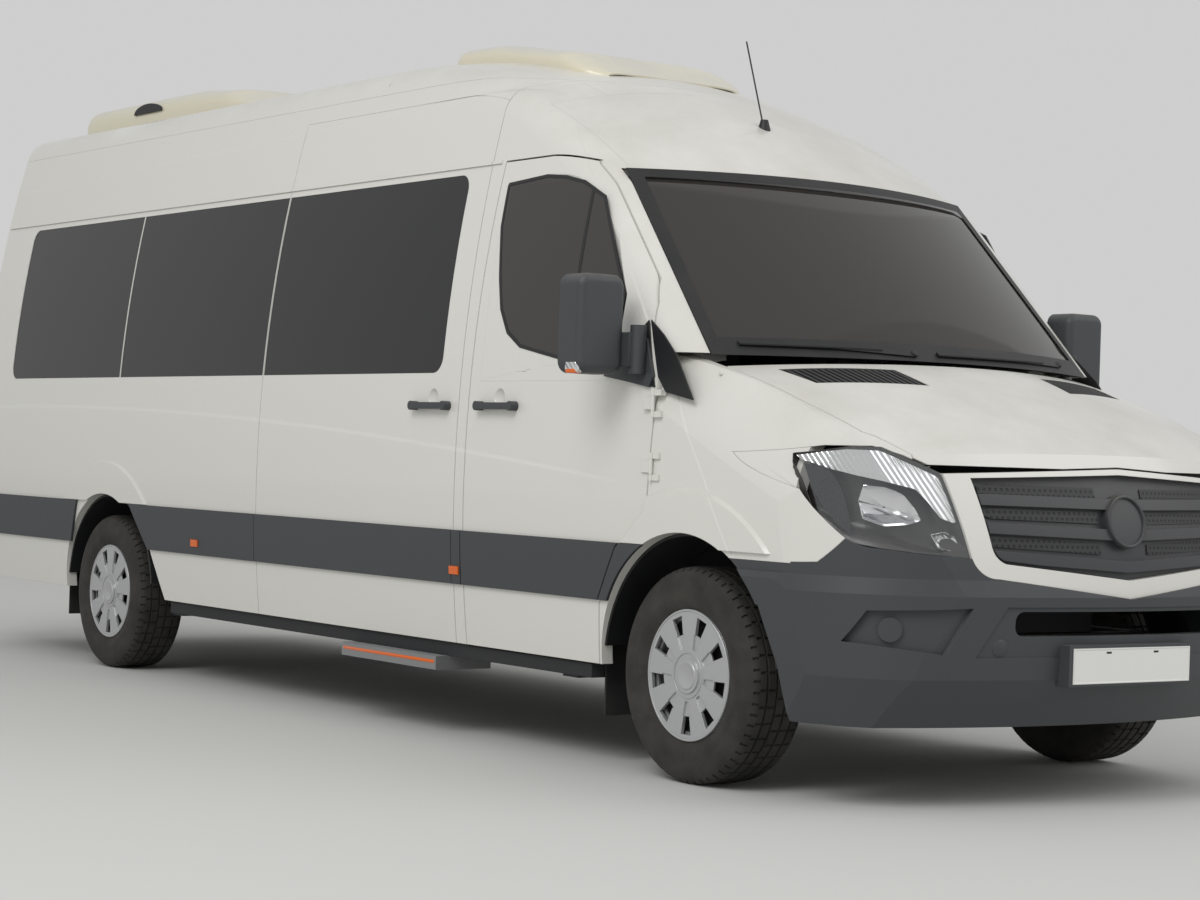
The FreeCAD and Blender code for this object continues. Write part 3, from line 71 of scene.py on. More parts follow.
def newMaterial(name, hexColour, base):
    material = bpy.data.materials.new(name)
    material.use_nodes = True
    tree = material.node_tree
    tree.nodes.clear()
    shader = addNode(tree, "BsdfPrincipled", {"Base Color": linear(hexColour), **base})
    addNode(tree, "OutputMaterial", {}, {"Surface": shader.outputs[0]})
    coords = addNode(tree, "TexCoord")
    return material, tree, shader, coords.outputs["Object"]


# A pressed or moulded edge is never quite sharp, so the shading rounds it by a few millimetres
def bumpFrom(tree, shader, height, strength, distance, edge=0.003):
    links = {"Height": height}
    if edge:
        links["Normal"] = addNode(tree, "Bevel", {"Radius": edge, "samples": 4})
    bump = addNode(tree, "Bump", {"Strength": strength, "Distance": distance}, links)
    tree.links.new(bump.outputs[0], shader.inputs["Normal"])


# A fine moulded, cast or sprayed skin
def noiseRelief(tree, shader, place, scale, detail, strength, distance, edge=0.003):
    noise = addNode(tree, "TexNoise",
                    {"Scale": scale, "Detail": detail, "Roughness": 0.55}, {"Vector": place})
    bumpFrom(tree, shader, noise, strength, distance, edge)


# How much of a surface looks up, with noise, for the dust that settles on it
def dustOn(tree, place, low, high, scale=2.2):
    face = addNode(tree, "NewGeometry")
    parts = addNode(tree, "SeparateXYZ", {}, {"Vector": face.outputs["Normal"]})
    level = addNode(tree, "MapRange", {"From Min": low, "From Max": high},
                    {"Value": parts.outputs["Z"]})
    noise = addNode(tree, "TexNoise",
                    {"Scale": scale, "Detail": 8.0, "Roughness": 0.62}, {"Vector": place})
    cloud = addNode(tree, "MapRange", {"From Min": 0.3, "From Max": 0.7},
                    {"Value": noise})
    return addNode(tree, "Math", {"operation": "MULTIPLY"}, {0: level, 1: cloud})


# The base colour runs from the first to the second as the share grows
def colourBy(tree, shader, share, first, second):
    mix = addNode(tree, "Mix", {"data_type": "RGBA", 6: linear(first),
                                          7: linear(second)}, {0: share})
    tree.links.new(mix.outputs[2], shader.inputs["Base Color"])


# Two pressed lines run along the body: the belt under the windows, a parabola that fades out at
# the front, and the roof's side line above them, which bends down at the front
creases = {"belt": (0.01096, 0.05517, 1.12085), "roofSide": (-0.0206, 2.3516),
           "bendFrom": 1.15, "bendBy": 0.85, "bendPower": 1.5, "width": 0.009,
           "depth": 0.006, "fadeStart": 1.6, "fadeEnd": 2.15}


def creaseHeight(tree, place):
    axes = addNode(tree, "SeparateXYZ", {}, {"Vector": place})
    along, up = axes.outputs["X"], axes.outputs["Z"]
    second, first, level = creases["belt"]
    climb = addNode(tree, "Math", {"operation": "MULTIPLY_ADD", 1: second, 2: first}, {0: along})
    slope = addNode(tree, "Math", {"operation": "MULTIPLY_ADD"}, {0: climb, 1: along, 2: up})
    width = creases["width"]
    step = addNode(tree, "MapRange",
                   {"interpolation_type": "SMOOTHSTEP", "From Min": level - width,
                    "From Max": level + width}, {"Value": slope})
    fade = addNode(tree, "MapRange",
                   {"From Min": creases["fadeEnd"], "From Max": creases["fadeStart"]},
                   {"Value": along})
    belt = addNode(tree, "Math", {"operation": "MULTIPLY"}, {0: step, 1: fade})
    tilt, high = creases["roofSide"]
    past = addNode(tree, "Math", {"operation": "SUBTRACT", 1: creases["bendFrom"]},
                   {0: along})
    clipped = addNode(tree, "Math", {"operation": "MAXIMUM", 1: 0.0}, {0: past})
    bent = addNode(tree, "Math", {"operation": "POWER", 1: creases["bendPower"]},
                   {0: clipped})
    line = addNode(tree, "Math", {"operation": "MULTIPLY_ADD", 1: tilt},
                   {0: along, 2: up})
    drop = addNode(tree, "Math", {"operation": "MULTIPLY_ADD", 1: creases["bendBy"]},
                   {0: bent, 2: line})
    roofSide = addNode(tree, "MapRange",
                       {"interpolation_type": "SMOOTHSTEP", "From Min": high + width,
                        "From Max": high - width}, {"Value": drop})
    return addNode(tree, "Math", {"operation": "SUBTRACT"}, {0: roofSide, 1: belt})


# Solid white enamel over pressed steel: glossy clear coat, fine peel, road dust on top faces
def whiteEnamel(name, hexColour="dad9d3", creased=False):
    material, tree, shader, place = newMaterial(name, hexColour, {
        "Roughness": 0.34, "Coat Weight": 0.5, "Coat Roughness": 0.1})
    colourBy(tree, shader, dustOn(tree, place, 0.25, 0.9), hexColour, "c3c1b8")
    if not creased:
        noiseRelief(tree, shader, place, 220.0, 2.0, 0.02, 0.001)
        return material
    noise = addNode(tree, "TexNoise",
                    {"Scale": 220.0, "Detail": 2.0, "Roughness": 0.55}, {"Vector": place})
    peel = addNode(tree, "Math", {"operation": "MULTIPLY", 1: 0.03}, {0: noise})
    relief = addNode(tree, "Math", {"operation": "ADD"},
                     {0: peel, 1: creaseHeight(tree, place)})
    bumpFrom(tree, shader, relief, 0.8, creases["depth"])
    return material


# Grained polypropylene, moulded and left unpainted: a fine pebble that catches a dull light
def grainedPlastic(name, hexColour, roughness=0.55, dusty="5a5955", pebble=420.0):
    material, tree, shader, place = newMaterial(name, hexColour, {
        "Roughness": roughness, "IOR": 1.49})
    noiseRelief(tree, shader, place, pebble, 3.0, 0.15, 0.0008)
    colourBy(tree, shader, dustOn(tree, place, 0.1, 1.0, 4.0), hexColour, dusty)
    return material


# Toughened float glass, coloured by its tint; on the clear panes that colour is painted shade of
# the dark cab behind them
def floatGlass(name, hexColour, alpha):
    return newMaterial(name, hexColour, {"Roughness": 0.02, "Alpha": alpha, "IOR": 1.52})[0]


# Flutes in a lens or a reflector: one bump wave each
def fluteBump(tree, shader, place, wave, strength, depth):
    flutes = addNode(tree, "TexWave", wave, {"Vector": place})
    bumpFrom(tree, shader, flutes.outputs["Fac"], strength, depth, 0.0)


# Moulded lens: clear or dyed acrylic with shallow flutes on its inner side
def acrylicLens(name, hexColour, alpha, flutes=0.0):
    material, tree, shader, place = newMaterial(name, hexColour, {
        "Roughness": 0.06, "Alpha": alpha, "IOR": 1.49})
    if flutes:
        wave = {"Scale": flutes, "bands_direction": "Z", "Distortion": 0.0}
        fluteBump(tree, shader, place, wave, 0.35, 0.002)
    return material


# Cast, drawn or lacquered metal: its roughness wanders a little, as handling leaves it
def metalFinish(name, hexColour, metallic, roughness, edge=0.002):
    material, tree, shader, place = newMaterial(name, hexColour, {
        "Metallic": metallic, "Roughness": roughness})
    spots = addNode(tree, "TexNoise",
                    {"Scale": 30.0, "Detail": 6.0, "Roughness": 0.55}, {"Vector": place})
    level = addNode(tree, "MapRange", {"To Min": roughness - 0.06,
                                                 "To Max": roughness + 0.1}, {"Value": spots})
    tree.links.new(level.outputs[0], shader.inputs["Roughness"])
    noiseRelief(tree, shader, place, 180.0, 3.0, 0.06, 0.0006, edge)
    return material


# Vulcanised rubber: near black, browned by road dust, with a fine matt skin
def vulcanisedRubber(name, hexColour="201f1e", dust="3b3833"):
    material, tree, shader, place = newMaterial(name, hexColour, {"Roughness": 0.78, "IOR": 1.52})
    noise = addNode(tree, "TexNoise",
                    {"Scale": 9.0, "Detail": 7.0, "Roughness": 0.6}, {"Vector": place})
    cloud = addNode(tree, "ValToRGB", {}, {"Fac": noise})
    stops = ((0.35, hexColour), (0.75, dust))
    for element, (position, colour) in zip(cloud.color_ramp.elements, stops):
        element.position = position
        element.color = linear(colour)
    tree.links.new(cloud.outputs["Color"], shader.inputs["Base Color"])
    noiseRelief(tree, shader, place, 320.0, 3.0, 0.2, 0.0006)
    return material


# Woven polyester seat cloth: two crossed thread waves, drawn 6 mm apart so that they show
def wovenCloth(name, hexColour="2e3644", thread="49546a"):
    material, tree, shader, place = newMaterial(name, hexColour, {
        "Roughness": 0.9, "Sheen Weight": 0.3})
    waves = [addNode(tree, "TexWave",
                     {"Scale": 50.0, "bands_direction": direction, "Distortion": 0.4},
                     {"Vector": place}).outputs["Fac"] for direction in ("Y", "Z")]
    weave = addNode(tree, "Math", {"operation": "MULTIPLY"},
                    {0: waves[0], 1: waves[1]})
    colourBy(tree, shader, weave, hexColour, thread)
    bumpFrom(tree, shader, weave, 0.4, 0.001, 0.0)
    return material


# Vacuum-coated reflector: bright chrome, pressed in flutes where flutes is set
def reflectorChrome(name, flutes=0.0):
    material, tree, shader, place = newMaterial(name, "e6e7e8", {
        "Metallic": 1.0, "Roughness": 0.16})
    if flutes:
        wave = {"Scale": flutes, "bands_direction": "DIAGONAL", "Distortion": 0.6}
        fluteBump(tree, shader, place, wave, 0.8, 0.003)
    return material


# Perforated moulding behind the slats: holes 10 mm wide and 9 mm high in staggered rows, not cut
# but painted near black as painted shade of the space behind
perforation = {"across": 0.020, "up": 0.017, "hole": 0.26, "rim": 0.05, "dark": "050505"}


def perforatedPlastic(name, hexColour="2a2b2d"):
    material, tree, shader, place = newMaterial(name, hexColour, {"Roughness": 0.5})
    axes = addNode(tree, "SeparateXYZ", {}, {"Vector": place})
    row = addNode(tree, "Math", {"operation": "DIVIDE", 1: perforation["up"]},
                  {0: axes.outputs["Z"]})
    rowNumber = addNode(tree, "Math", {"operation": "FLOOR"}, {0: row})
    stagger = addNode(tree, "Math", {"operation": "MULTIPLY", 1: 0.5}, {0: rowNumber})
    column = addNode(tree, "Math",
                     {"operation": "MULTIPLY_ADD", 1: 1 / perforation["across"]},
                     {0: axes.outputs["Y"], 2: stagger})
    cell = addNode(tree, "CombineXYZ", {}, {"X": row, "Y": column})
    spot = addNode(tree, "VectorMath", {"operation": "FRACTION"}, {0: cell})
    far = addNode(tree, "VectorMath", {"operation": "DISTANCE", 1: (0.5, 0.5, 0.0)}, {0: spot})
    hole = addNode(tree, "MapRange",
                   {"From Min": perforation["hole"] - perforation["rim"],
                    "From Max": perforation["hole"]}, {"Value": far.outputs["Value"]})
    # The holes take the near-black colour: painted shade of the dark space behind the grille
    colourBy(tree, shader, hole, perforation["dark"], hexColour)
    bumpFrom(tree, shader, hole, 1.0, 0.004, 0.0)
    return material


finishes = {
    "body_paint": whiteEnamel("whiteEnamel", creased=True),
    "floor_steel": grainedPlastic("ribbedFloorMat", "2a2b2d", 0.8, "3a3a3a", 300.0),
    "chassis_steel": metalFinish("waxedChassisSteel", "1b1b1c", 0.0, 0.6),
    "bumper_plastic": grainedPlastic("grainedPolypropylene", "3d3f42", 0.5, "5f5e5a"),
    "trim_plastic": grainedPlastic("blackPolypropylene", "17181a", 0.5, "2e2e2c"),
    "grille_plastic": grainedPlastic("grilleAbs", "3a3b3e", 0.42, "55544f"),
    "lamp_clear": acrylicLens("clearAcrylicLens", "b9bcc0", 0.07),
    "lamp_red": acrylicLens("redAcrylicLens", "8a0f12", 1.0, 26.0),
    "lamp_amber": acrylicLens("amberAcrylicLens", "e0661a", 1.0, 40.0),
    "plate_white": whiteEnamel("plateEnamel", "e2e2de"),
    "tinted_glass": floatGlass("tintedSideGlass", "0a0b0d", 0.95),
    # The clear panes are coloured dark and nearly opaque: painted shade of the dark cab behind
    # them
    "clear_glass": floatGlass("cabShadeScreenGlass", "34312f", 0.93),
    "pod_shell": whiteEnamel("creamFibreglass", "d9d3bb"),
    "step_metal": metalFinish("treadAluminium", "9a9b9c", 0.8, 0.45),
    "engine_metal": metalFinish("castIron", "4a4a4b", 0.4, 0.6),
    "exhaust_steel": metalFinish("drawnExhaustSteel", "6b6660", 0.8, 0.5),
    "cabin_plastic": grainedPlastic("cabinAbs", "303235", 0.6, "3a3b3c"),
    "seat_fabric": wovenCloth("wovenSeatCloth"),
    "tyre_rubber": vulcanisedRubber("tyreRubber"),
    "spare_tyre": vulcanisedRubber("spareRubber"),
    "flap_rubber": vulcanisedRubber("flapRubber", "1c1c1d", "2c2b29"),
    "wheel_silver": metalFinish("silverLacquer", "b9babb", 0.55, 0.34, 0.003),
}
chromePlain = reflectorChrome("reflectorChrome")
chromeFluted = reflectorChrome("flutedChrome", 26.0)
mirrorSilver = metalFinish("silveredGlass", "c8cdd0", 1.0, 0.04, 0.0)
perforated = perforatedPlastic("perforatedAbs")
lampBlack = grainedPlastic("lampHousingAbs", "3a3836", 0.3, "3a3836", 600.0)

for part in record["subparts"]:
    slots = nodes[part["node"]].data.materials
    slots.clear()
    slots.append(finishes[part["material_slot"]])
for side in ("left", "right"):
    nodes["front_door_%s_fittings" % side].data.materials[0] = finishes["bumper_plastic"]
print("finishes given to", len(record["subparts"]), "nodes")


weldGap = 0.00002


# Working steps, as by hand: pick pieces, open one in edit mode, pick its faces, close it
def pick(*pieces):
    bpy.ops.object.select_all(action="DESELECT")
    for piece in pieces:
        piece.select_set(True)
    bpy.context.view_layer.objects.active = pieces[0]


def openEdit(piece, kind="FACE"):
    pick(piece)
    bpy.ops.object.mode_set(mode="EDIT")
    bpy.ops.mesh.select_mode(type=kind)
    bpy.ops.mesh.select_all(action="DESELECT")


def pickFaces(test):
    mesh = bmesh.from_edit_mesh(bpy.context.object.data)
    for face in mesh.faces:
        face.select_set(test(face.calc_center_median(), face.normal))
    bmesh.update_edit_mesh(bpy.context.object.data)


def closeEdit():
    bpy.ops.object.mode_set(mode="OBJECT")


def addPrimitive(kind, **settings):
    bpy.ops.object.select_all(action="DESELECT")
    getattr(bpy.ops.mesh, "primitive_" + kind + "_add")(**settings)
    return bpy.context.object


def applyModifier(piece, kind, **settings):
    bpy.context.view_layer.objects.active = piece
    modifier = piece.modifiers.new(kind, kind)
    for key, value in settings.items():
        setattr(modifier, key, value)
    bpy.ops.object.modifier_apply(modifier=modifier.name)


def settle(piece, smooth=35):
    pick(piece)
    bpy.ops.object.transform_apply(location=True, rotation=True, scale=True)
    bpy.ops.object.mode_set(mode="EDIT")
    bpy.ops.mesh.select_all(action="SELECT")
    bpy.ops.mesh.remove_doubles(threshold=weldGap)
    bpy.ops.mesh.normals_make_consistent(inside=False)
    bpy.ops.object.mode_set(mode="OBJECT")
    bpy.ops.object.shade_smooth_by_angle(angle=math.radians(smooth))
    return piece


def copyOf(piece, name, matrix=Matrix.Identity(4)):
    twin = bpy.data.objects.new(name, piece.data.copy())
    twin.data.name = name
    twin.data.transform(matrix)
    if matrix.determinant() < 0:
        twin.data.flip_normals()
    bpy.context.scene.collection.objects.link(twin)
    return twin


def joinPieces(pieces, name):
    pick(*pieces)
    bpy.ops.object.join()
    pieces[0].name = name
    pieces[0].data.name = name
    return pieces[0]


def give(piece, name, body, slotName, material=None, replaced=()):
    piece.name = name
    piece.data.name = name
    piece.data.materials.clear()
    piece.data.materials.append(material or finishes[slotName])
    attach(piece, body)
    if replaced:
        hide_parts(*replaced)
    return piece


acrossMirror = Matrix.Scale(-1, 4, (0, 1, 0))
sides = (("right", -1), ("left", 1))


# Right and left copies of pieces made on the right; {} in a name stands for the side
def giveBothSides(parts):
    for sideName, side in sides:
        turn = acrossMirror if side > 0 else Matrix.Identity(4)
        for piece, name, body, slotName, material, replaced in parts:
            give(copyOf(piece, name, turn), name + sideName.title(), body.format(sideName),
                 slotName, material, [node.format(sideName) for node in replaced])
    for part in parts:
        bpy.data.objects.remove(part[0])


# A grid moved point by point: place turns its shares across and along (0 to 1) into metres
def shapedGrid(columns, rows, place):
    piece = addPrimitive("grid", x_subdivisions=columns, y_subdivisions=rows, size=2)
    openEdit(piece)
    mesh = bmesh.from_edit_mesh(piece.data)
    for vertex in mesh.verts:
        vertex.co = place((vertex.co.x + 1) / 2, (vertex.co.y + 1) / 2)
    bmesh.update_edit_mesh(piece.data)
    closeEdit()
    return piece


# A grid given a wall, on its inner side unless offset says otherwise
def sheet(columns, rows, place, thick, offset=-1.0):
    piece = shapedGrid(columns, rows, place)
    applyModifier(piece, "SOLIDIFY", thickness=thick, offset=offset)
    return piece


# A ring drawn on its first radius; each next ring is drawn out of the last, along Y
def turnedProfile(points, segments):
    across, radius = points[0]
    piece = addPrimitive("circle", vertices=segments, radius=radius, location=(0, across, 0),
                         rotation=(math.pi / 2, 0, 0))
    bpy.ops.object.transform_apply(location=True, rotation=True, scale=True)
    openEdit(piece, "EDGE")
    bpy.ops.mesh.select_all(action="SELECT")
    for nextAcross, nextRadius in points[1:]:
        bpy.ops.mesh.extrude_region_move(
            TRANSFORM_OT_translate={"value": (0, nextAcross - across, 0)})
        share = nextRadius / radius
        bpy.ops.transform.resize(value=(share, 1, share), center_override=(0, nextAcross, 0))
        across, radius = nextAcross, nextRadius
    closeEdit()
    return piece


# A point at a share of a broken line's length
def along(points, share):
    steps = [(Vector(b) - Vector(a)).length for a, b in zip(points, points[1:])]
    rest = min(max(share, 0.0), 1.0) * sum(steps)
    for start, end, step in zip(points, points[1:], steps):
        if rest <= step or end == points[-1]:
            return Vector(start).lerp(Vector(end), min(rest / step, 1.0) if step else 0.0)
        rest -= step


# A point at a share of a line's steps, however long each is
def matched(points, share):
    position = share * (len(points) - 1)
    step = min(int(position), len(points) - 2)
    return Vector(points[step]).lerp(Vector(points[step + 1]), position - step)


# Where the skins of the car lie, in metres: nose, side and windscreen, each let in by inset
noseSkin = {"radius": 1.218, "height": 0.640, "pivotX": 1.0, "ringRadius": 1.244,
            "cornerX": 2.9008, "cornerY": 0.486, "cornerRadius": 0.5}
sideSkin = {"halfWidth": 0.985, "waist": 0.9, "upperRadius": 5.8, "lowerRadius": 4.8}


def noseX(y, z, inset=0.0):
    high = math.sqrt((noseSkin["radius"] - inset) ** 2 - (z - noseSkin["height"]) ** 2)
    reach = (noseSkin["ringRadius"] + high) ** 2 - y * y
    x = noseSkin["pivotX"] + math.sqrt(max(reach, 0.0))
    past = abs(y) - noseSkin["cornerY"]
    if past > 0:
        corner = (noseSkin["cornerRadius"] - inset) ** 2 - past ** 2
        x = min(x, noseSkin["cornerX"] + math.sqrt(max(corner, 0.0)))
    return x


def sideY(z):
    rise = z - sideSkin["waist"]
    radius = sideSkin["upperRadius"] if rise > 0 else sideSkin["lowerRadius"]
    return sideSkin["halfWidth"] - radius + math.sqrt(radius ** 2 - rise ** 2)


screen = {"slope": math.radians(45.2), "base": (2.637, 1.390), "radius": 2.4}


def screenPoint(y, z, out=0.0):
    slope = screen["slope"]
    baseX, baseZ = screen["base"]
    low = y * y / (2 * screen["radius"]) - out
    x = baseX - (z - baseZ + low * math.cos(slope)) / math.tan(slope) - low * math.sin(slope)
    return Vector((x, y, z))


# Tyres: a carcass turned from its half section, with grooves, and sipes let into the tread
tyreShape = {"segments": 240, "axle": 0.348, "track": 0.84, "frontX": 2.46, "rearX": -1.865,
             "half": [(0.083, 0.2035), (0.099, 0.213), (0.1110, 0.236), (0.1168, 0.262),
                      (0.1158, 0.266), (0.1166, 0.284), (0.1150, 0.303), (0.1104, 0.319),
                      (0.1035, 0.3335), (0.0945, 0.3418), (0.0840, 0.3460)],
             "crown": 0.3478, "grooves": (0.057, 0.019), "grooveHalf": 0.0045,
             "grooveFloor": 0.6, "grooveDepth": 0.008, "sipeDepth": 0.006,
             "shoulder": {"radii": (0.335, 0.347), "beyond": 0.088, "every": 4,
                          "edge": 0.0018},
             "rib": {"beyond": 0.3455, "within": 0.08, "every": 6, "offset": 3,
                     "upright": 0.3, "edge": 0.0022},
             "turn": 0.4, "smooth": 28}
wheelPlaces = [(end, x, sideName, side) for end, x in (("front", tyreShape["frontX"]),
                                                      ("rear", tyreShape["rearX"]))
               for sideName, side in sides]


# The number of the sector round the axle that a face lies in
def sector(centre, segments):
    return round(math.atan2(centre.z, centre.x) / math.tau * segments - 0.5)


def tyreRings():
    rings = list(tyreShape["half"])
    half, deep = tyreShape["grooveHalf"], tyreShape["crown"] - tyreShape["grooveDepth"]
    for place in tyreShape["grooves"]:
        floor = half * tyreShape["grooveFloor"]
        rings += [(place + half, tyreShape["crown"]), (place + floor, deep),
                  (place - floor, deep), (place - half, tyreShape["crown"])]
    mirrored = [(-across, radius) for across, radius in reversed(rings)]
    return rings + mirrored + [rings[0]]


def cutSipes(piece):
    segments = tyreShape["segments"]
    openEdit(piece)

    def shoulder(centre, normal):
        form = tyreShape["shoulder"]
        low, high = form["radii"]
        inBand = low < math.hypot(centre.x, centre.z) < high and abs(centre.y) > form["beyond"]
        return inBand and sector(centre, segments) % form["every"] == 0

    def rib(centre, normal):
        form = tyreShape["rib"]
        flat = (math.hypot(centre.x, centre.z) > form["beyond"] and
                abs(centre.y) < form["within"] and abs(normal.y) < form["upright"])
        turn = 0 if centre.y > 0 else form["offset"]
        return flat and sector(centre, segments) % form["every"] == turn

    for test, key in ((shoulder, "shoulder"), (rib, "rib")):
        bpy.ops.mesh.select_all(action="DESELECT")
        pickFaces(test)
        bpy.ops.mesh.inset(thickness=tyreShape[key]["edge"], depth=-tyreShape["sipeDepth"])
    closeEdit()


# Copies of a piece on the four wheels: a tyre is turned to its own angle on each, and a right
# wheel's cover or disc is mirrored to the left
def onWheels(piece, name, slotName, turned=False):
    for end, x, sideName, side in wheelPlaces:
        wheelName = end + "_" + sideName
        place = Matrix.Translation((x, 0, tyreShape["axle"]))
        replaced = ()
        if turned:
            place = (Matrix.Translation((0, side * tyreShape["track"], 0)) @ place @
                     Matrix.Rotation(tyreShape["turn"] * x + side, 4, "Y"))
            replaced = ("tyre_" + wheelName,)
        elif side > 0:
            place = acrossMirror @ place
        give(copyOf(piece, name, place), name + end.title() + sideName.title(),
             "wheel_" + wheelName, slotName, None, replaced)
    bpy.data.objects.remove(piece)


tyre = settle(turnedProfile(tyreRings(), tyreShape["segments"]))
cutSipes(tyre)
onWheels(settle(tyre, smooth=tyreShape["smooth"]), "treadedTyre", "tyre_rubber", turned=True)
print("tyres done")


# Pressed steel wheel behind each cover, black, with hand holes that leave it in shadow
steelWheel = {"segments": 72, "face": 0.9,
              "rings": [(0.016, 0.052), (0.018, 0.100), (0.004, 0.128), (0.002, 0.160),
                        (0.014, 0.186), (0.006, 0.1845), (-0.002, 0.160), (0.000, 0.126),
                        (0.014, 0.100), (0.012, 0.052), (0.016, 0.052)],
              "holeRadii": (0.128, 0.162), "holePitch": 8, "holeWide": 4,
              "holeEdge": 0.002, "holeDepth": 0.0012}


def steelWheels():
    segments, (low, high) = steelWheel["segments"], steelWheel["holeRadii"]
    disc = settle(turnedProfile([(-across - steelWheel["face"], radius)
                                 for across, radius in steelWheel["rings"]], segments))
    openEdit(disc)
    pickFaces(lambda c, n: low < math.hypot(c.x, c.z) < high and
              sector(c, segments) % steelWheel["holePitch"] < steelWheel["holeWide"])
    bpy.ops.mesh.inset(thickness=steelWheel["holeEdge"], depth=-steelWheel["holeDepth"])
    closeEdit()
    onWheels(settle(disc), "steelDisc", "chassis_steel")


steelWheels()


# Rolled edge of the wheel cover, its bare middle cap and the ring around that cap
coverTrim = {"edgeRings": [(0.9375, 0.2105), (0.9415, 0.2118), (0.9448, 0.2105),
                           (0.9458, 0.2070), (0.9445, 0.2035), (0.9425, 0.2035),
                           (0.9375, 0.2105)],
             "capRings": [(0.9485, 0.0470), (0.9510, 0.0450), (0.9518, 0.0400),
                          (0.9505, 0.0370), (0.9505, 0.0010)],
             "ringRings": [(0.9435, 0.0760), (0.9462, 0.0745), (0.9462, 0.0700),
                           (0.9435, 0.0685), (0.9435, 0.0760)],
             "segments": 144}


def wheelTrim():
    parts = []
    for key in ("edgeRings", "capRings", "ringRings"):
        rings = [(-across, radius) for across, radius in coverTrim[key]]
        parts.append(settle(turnedProfile(rings, coverTrim["segments"])))
    onWheels(settle(joinPieces(parts, "trim")), "coverTrim", "wheel_silver")


wheelTrim()
print("wheel covers done")


# Headlamps: outlines as (Y, Z) for the right lamp, from its outer tip to the inner low point
lampShape = {
    "top": [(-0.974, 1.065), (-0.940, 1.079), (-0.904, 1.0925), (-0.830, 1.0945),
            (-0.746, 1.057), (-0.6635, 1.0195), (-0.632, 0.894), (-0.6015, 0.771)],
    "low": [(-0.974, 1.060), (-0.962, 0.975), (-0.951, 0.891), (-0.911, 0.819),
            (-0.892, 0.804), (-0.847, 0.793), (-0.767, 0.782), (-0.6015, 0.770)],
    "bandTop": [(-0.966, 1.062), (-0.940, 1.075), (-0.904, 1.088), (-0.830, 1.090),
                (-0.748, 1.053), (-0.667, 1.014), (-0.640, 0.890), (-0.636, 0.878)],
    "bandLow": [(-0.962, 1.048), (-0.931, 1.024), (-0.891, 1.007), (-0.824, 0.988),
                (-0.750, 0.971), (-0.718, 0.935), (-0.684, 0.887), (-0.644, 0.874)],
    "main": [(-0.874, 0.932), (-0.866, 0.978), (-0.825, 0.974), (-0.778, 0.952),
             (-0.748, 0.909), (-0.736, 0.879), (-0.768, 0.866), (-0.822, 0.858),
             (-0.866, 0.879), (-0.874, 0.932)],
    "small": [(-0.709, 0.836), (-0.667, 0.845), (-0.634, 0.831), (-0.618, 0.790),
              (-0.688, 0.795), (-0.709, 0.836)],
    "darkTop": [(-0.966, 1.040), (-0.935, 1.018), (-0.916, 0.960), (-0.903, 0.880)],
    "darkLow": [(-0.958, 0.970), (-0.945, 0.915), (-0.925, 0.862), (-0.900, 0.829)],
    "tipY": -0.9795, "wall": 0.003, "bowlWall": 0.0015, "bowlStart": 0.04, "bowlCrown": 0.98,
    "housing": {"rim": 0.008, "deep": 0.046, "ends": 7, "edges": 4},
    "shield": {"y": (-0.868, 0.118), "z": (0.912, 0.906, -0.014), "inset": (0.020, 0.014),
               "wide": 0.024, "thick": 0.003}}


def lampSheet(top, low, inset, columns, rows, thick):
    def place(u, v):
        spot = matched(lampShape[low], u).lerp(matched(lampShape[top], u), v)
        depth = inset(u, v) if callable(inset) else inset
        y = max(spot[0], depth + lampShape["tipY"])
        return Vector((noseX(y, spot[1], depth), y, spot[1]))

    return settle(sheet(columns, rows, place, thick))


def lampBowl(key, rim, deep, columns, rows):
    outline = lampShape[key]
    middle = sum((Vector(p) for p in outline[:-1]), Vector((0, 0))) / (len(outline) - 1)

    def place(u, v):
        reach = lampShape["bowlStart"] + (1 - lampShape["bowlStart"]) * v
        spot = middle.lerp(along(outline, u), reach)
        depth = rim + (deep - rim) * math.sqrt(1 - lampShape["bowlCrown"] * reach * reach)
        return Vector((noseX(spot[0], spot[1], depth), spot[0], spot[1]))

    return settle(sheet(columns, rows, place, lampShape["bowlWall"]))


# The housing drops from its rim to its floor in a smooth step along its edges
def housingDepth(u, v):
    form = lampShape["housing"]
    edge = min(form["edges"] * v, form["edges"] * (1 - v), form["ends"] * u,
               form["ends"] * (1 - u), 1.0)
    return form["rim"] + form["deep"] * edge * edge * (3 - 2 * edge)


# Shield across the main reflector: two bright leaves that meet in a point
def lampShield():
    form = lampShape["shield"]
    (startY, spanY), (levelZ, startZ, fallZ) = form["y"], form["z"]
    outer, slant = form["inset"]

    def place(u, v):
        y = startY + spanY * u
        z = startZ + fallZ * u + form["wide"] * (v - 0.5) * (1 - u)
        return Vector((noseX(y, levelZ, outer + slant * v), y, z))

    return settle(sheet(12, 4, place, form["thick"]))


wall = lampShape["wall"]
giveBothSides([
    (lampSheet("top", "low", 0.001, 64, 16, wall), "lampLens", "body", "lamp_clear", None,
     ("headlamps",)),
    (lampSheet("top", "low", housingDepth, 64, 24, wall), "lampHousing", "body",
     "trim_plastic", lampBlack, ()),
    (lampSheet("bandTop", "bandLow", 0.012, 64, 8, wall), "lampBand", "body", "lamp_clear",
     chromeFluted, ()),
    (lampSheet("darkTop", "darkLow", 0.0048, 16, 6, 0.001), "lampCheek", "body",
     "trim_plastic", None, ()),
    (lampBowl("main", 0.022, 0.050, 72, 14), "mainReflector", "body", "lamp_clear",
     chromePlain, ()),
    (lampBowl("small", 0.022, 0.044, 48, 8), "lowReflector", "body", "lamp_clear",
     chromeFluted, ()),
    (lampShield(), "lampShield", "body", "lamp_clear", chromePlain, ())])
print("headlamps done")


# Perforated bands behind the grille slats, both sides of the plain boss
grilleBands = {"reach": (0.105, 0.545), "rows": [(0.976, 0.972), (0.908, 0.893), (0.827, 0.797)],
               "half": 0.016, "inset": 0.0215, "rowSpan": 0.65, "taperFrom": 0.94,
               "taper": 0.7, "thick": 0.003}


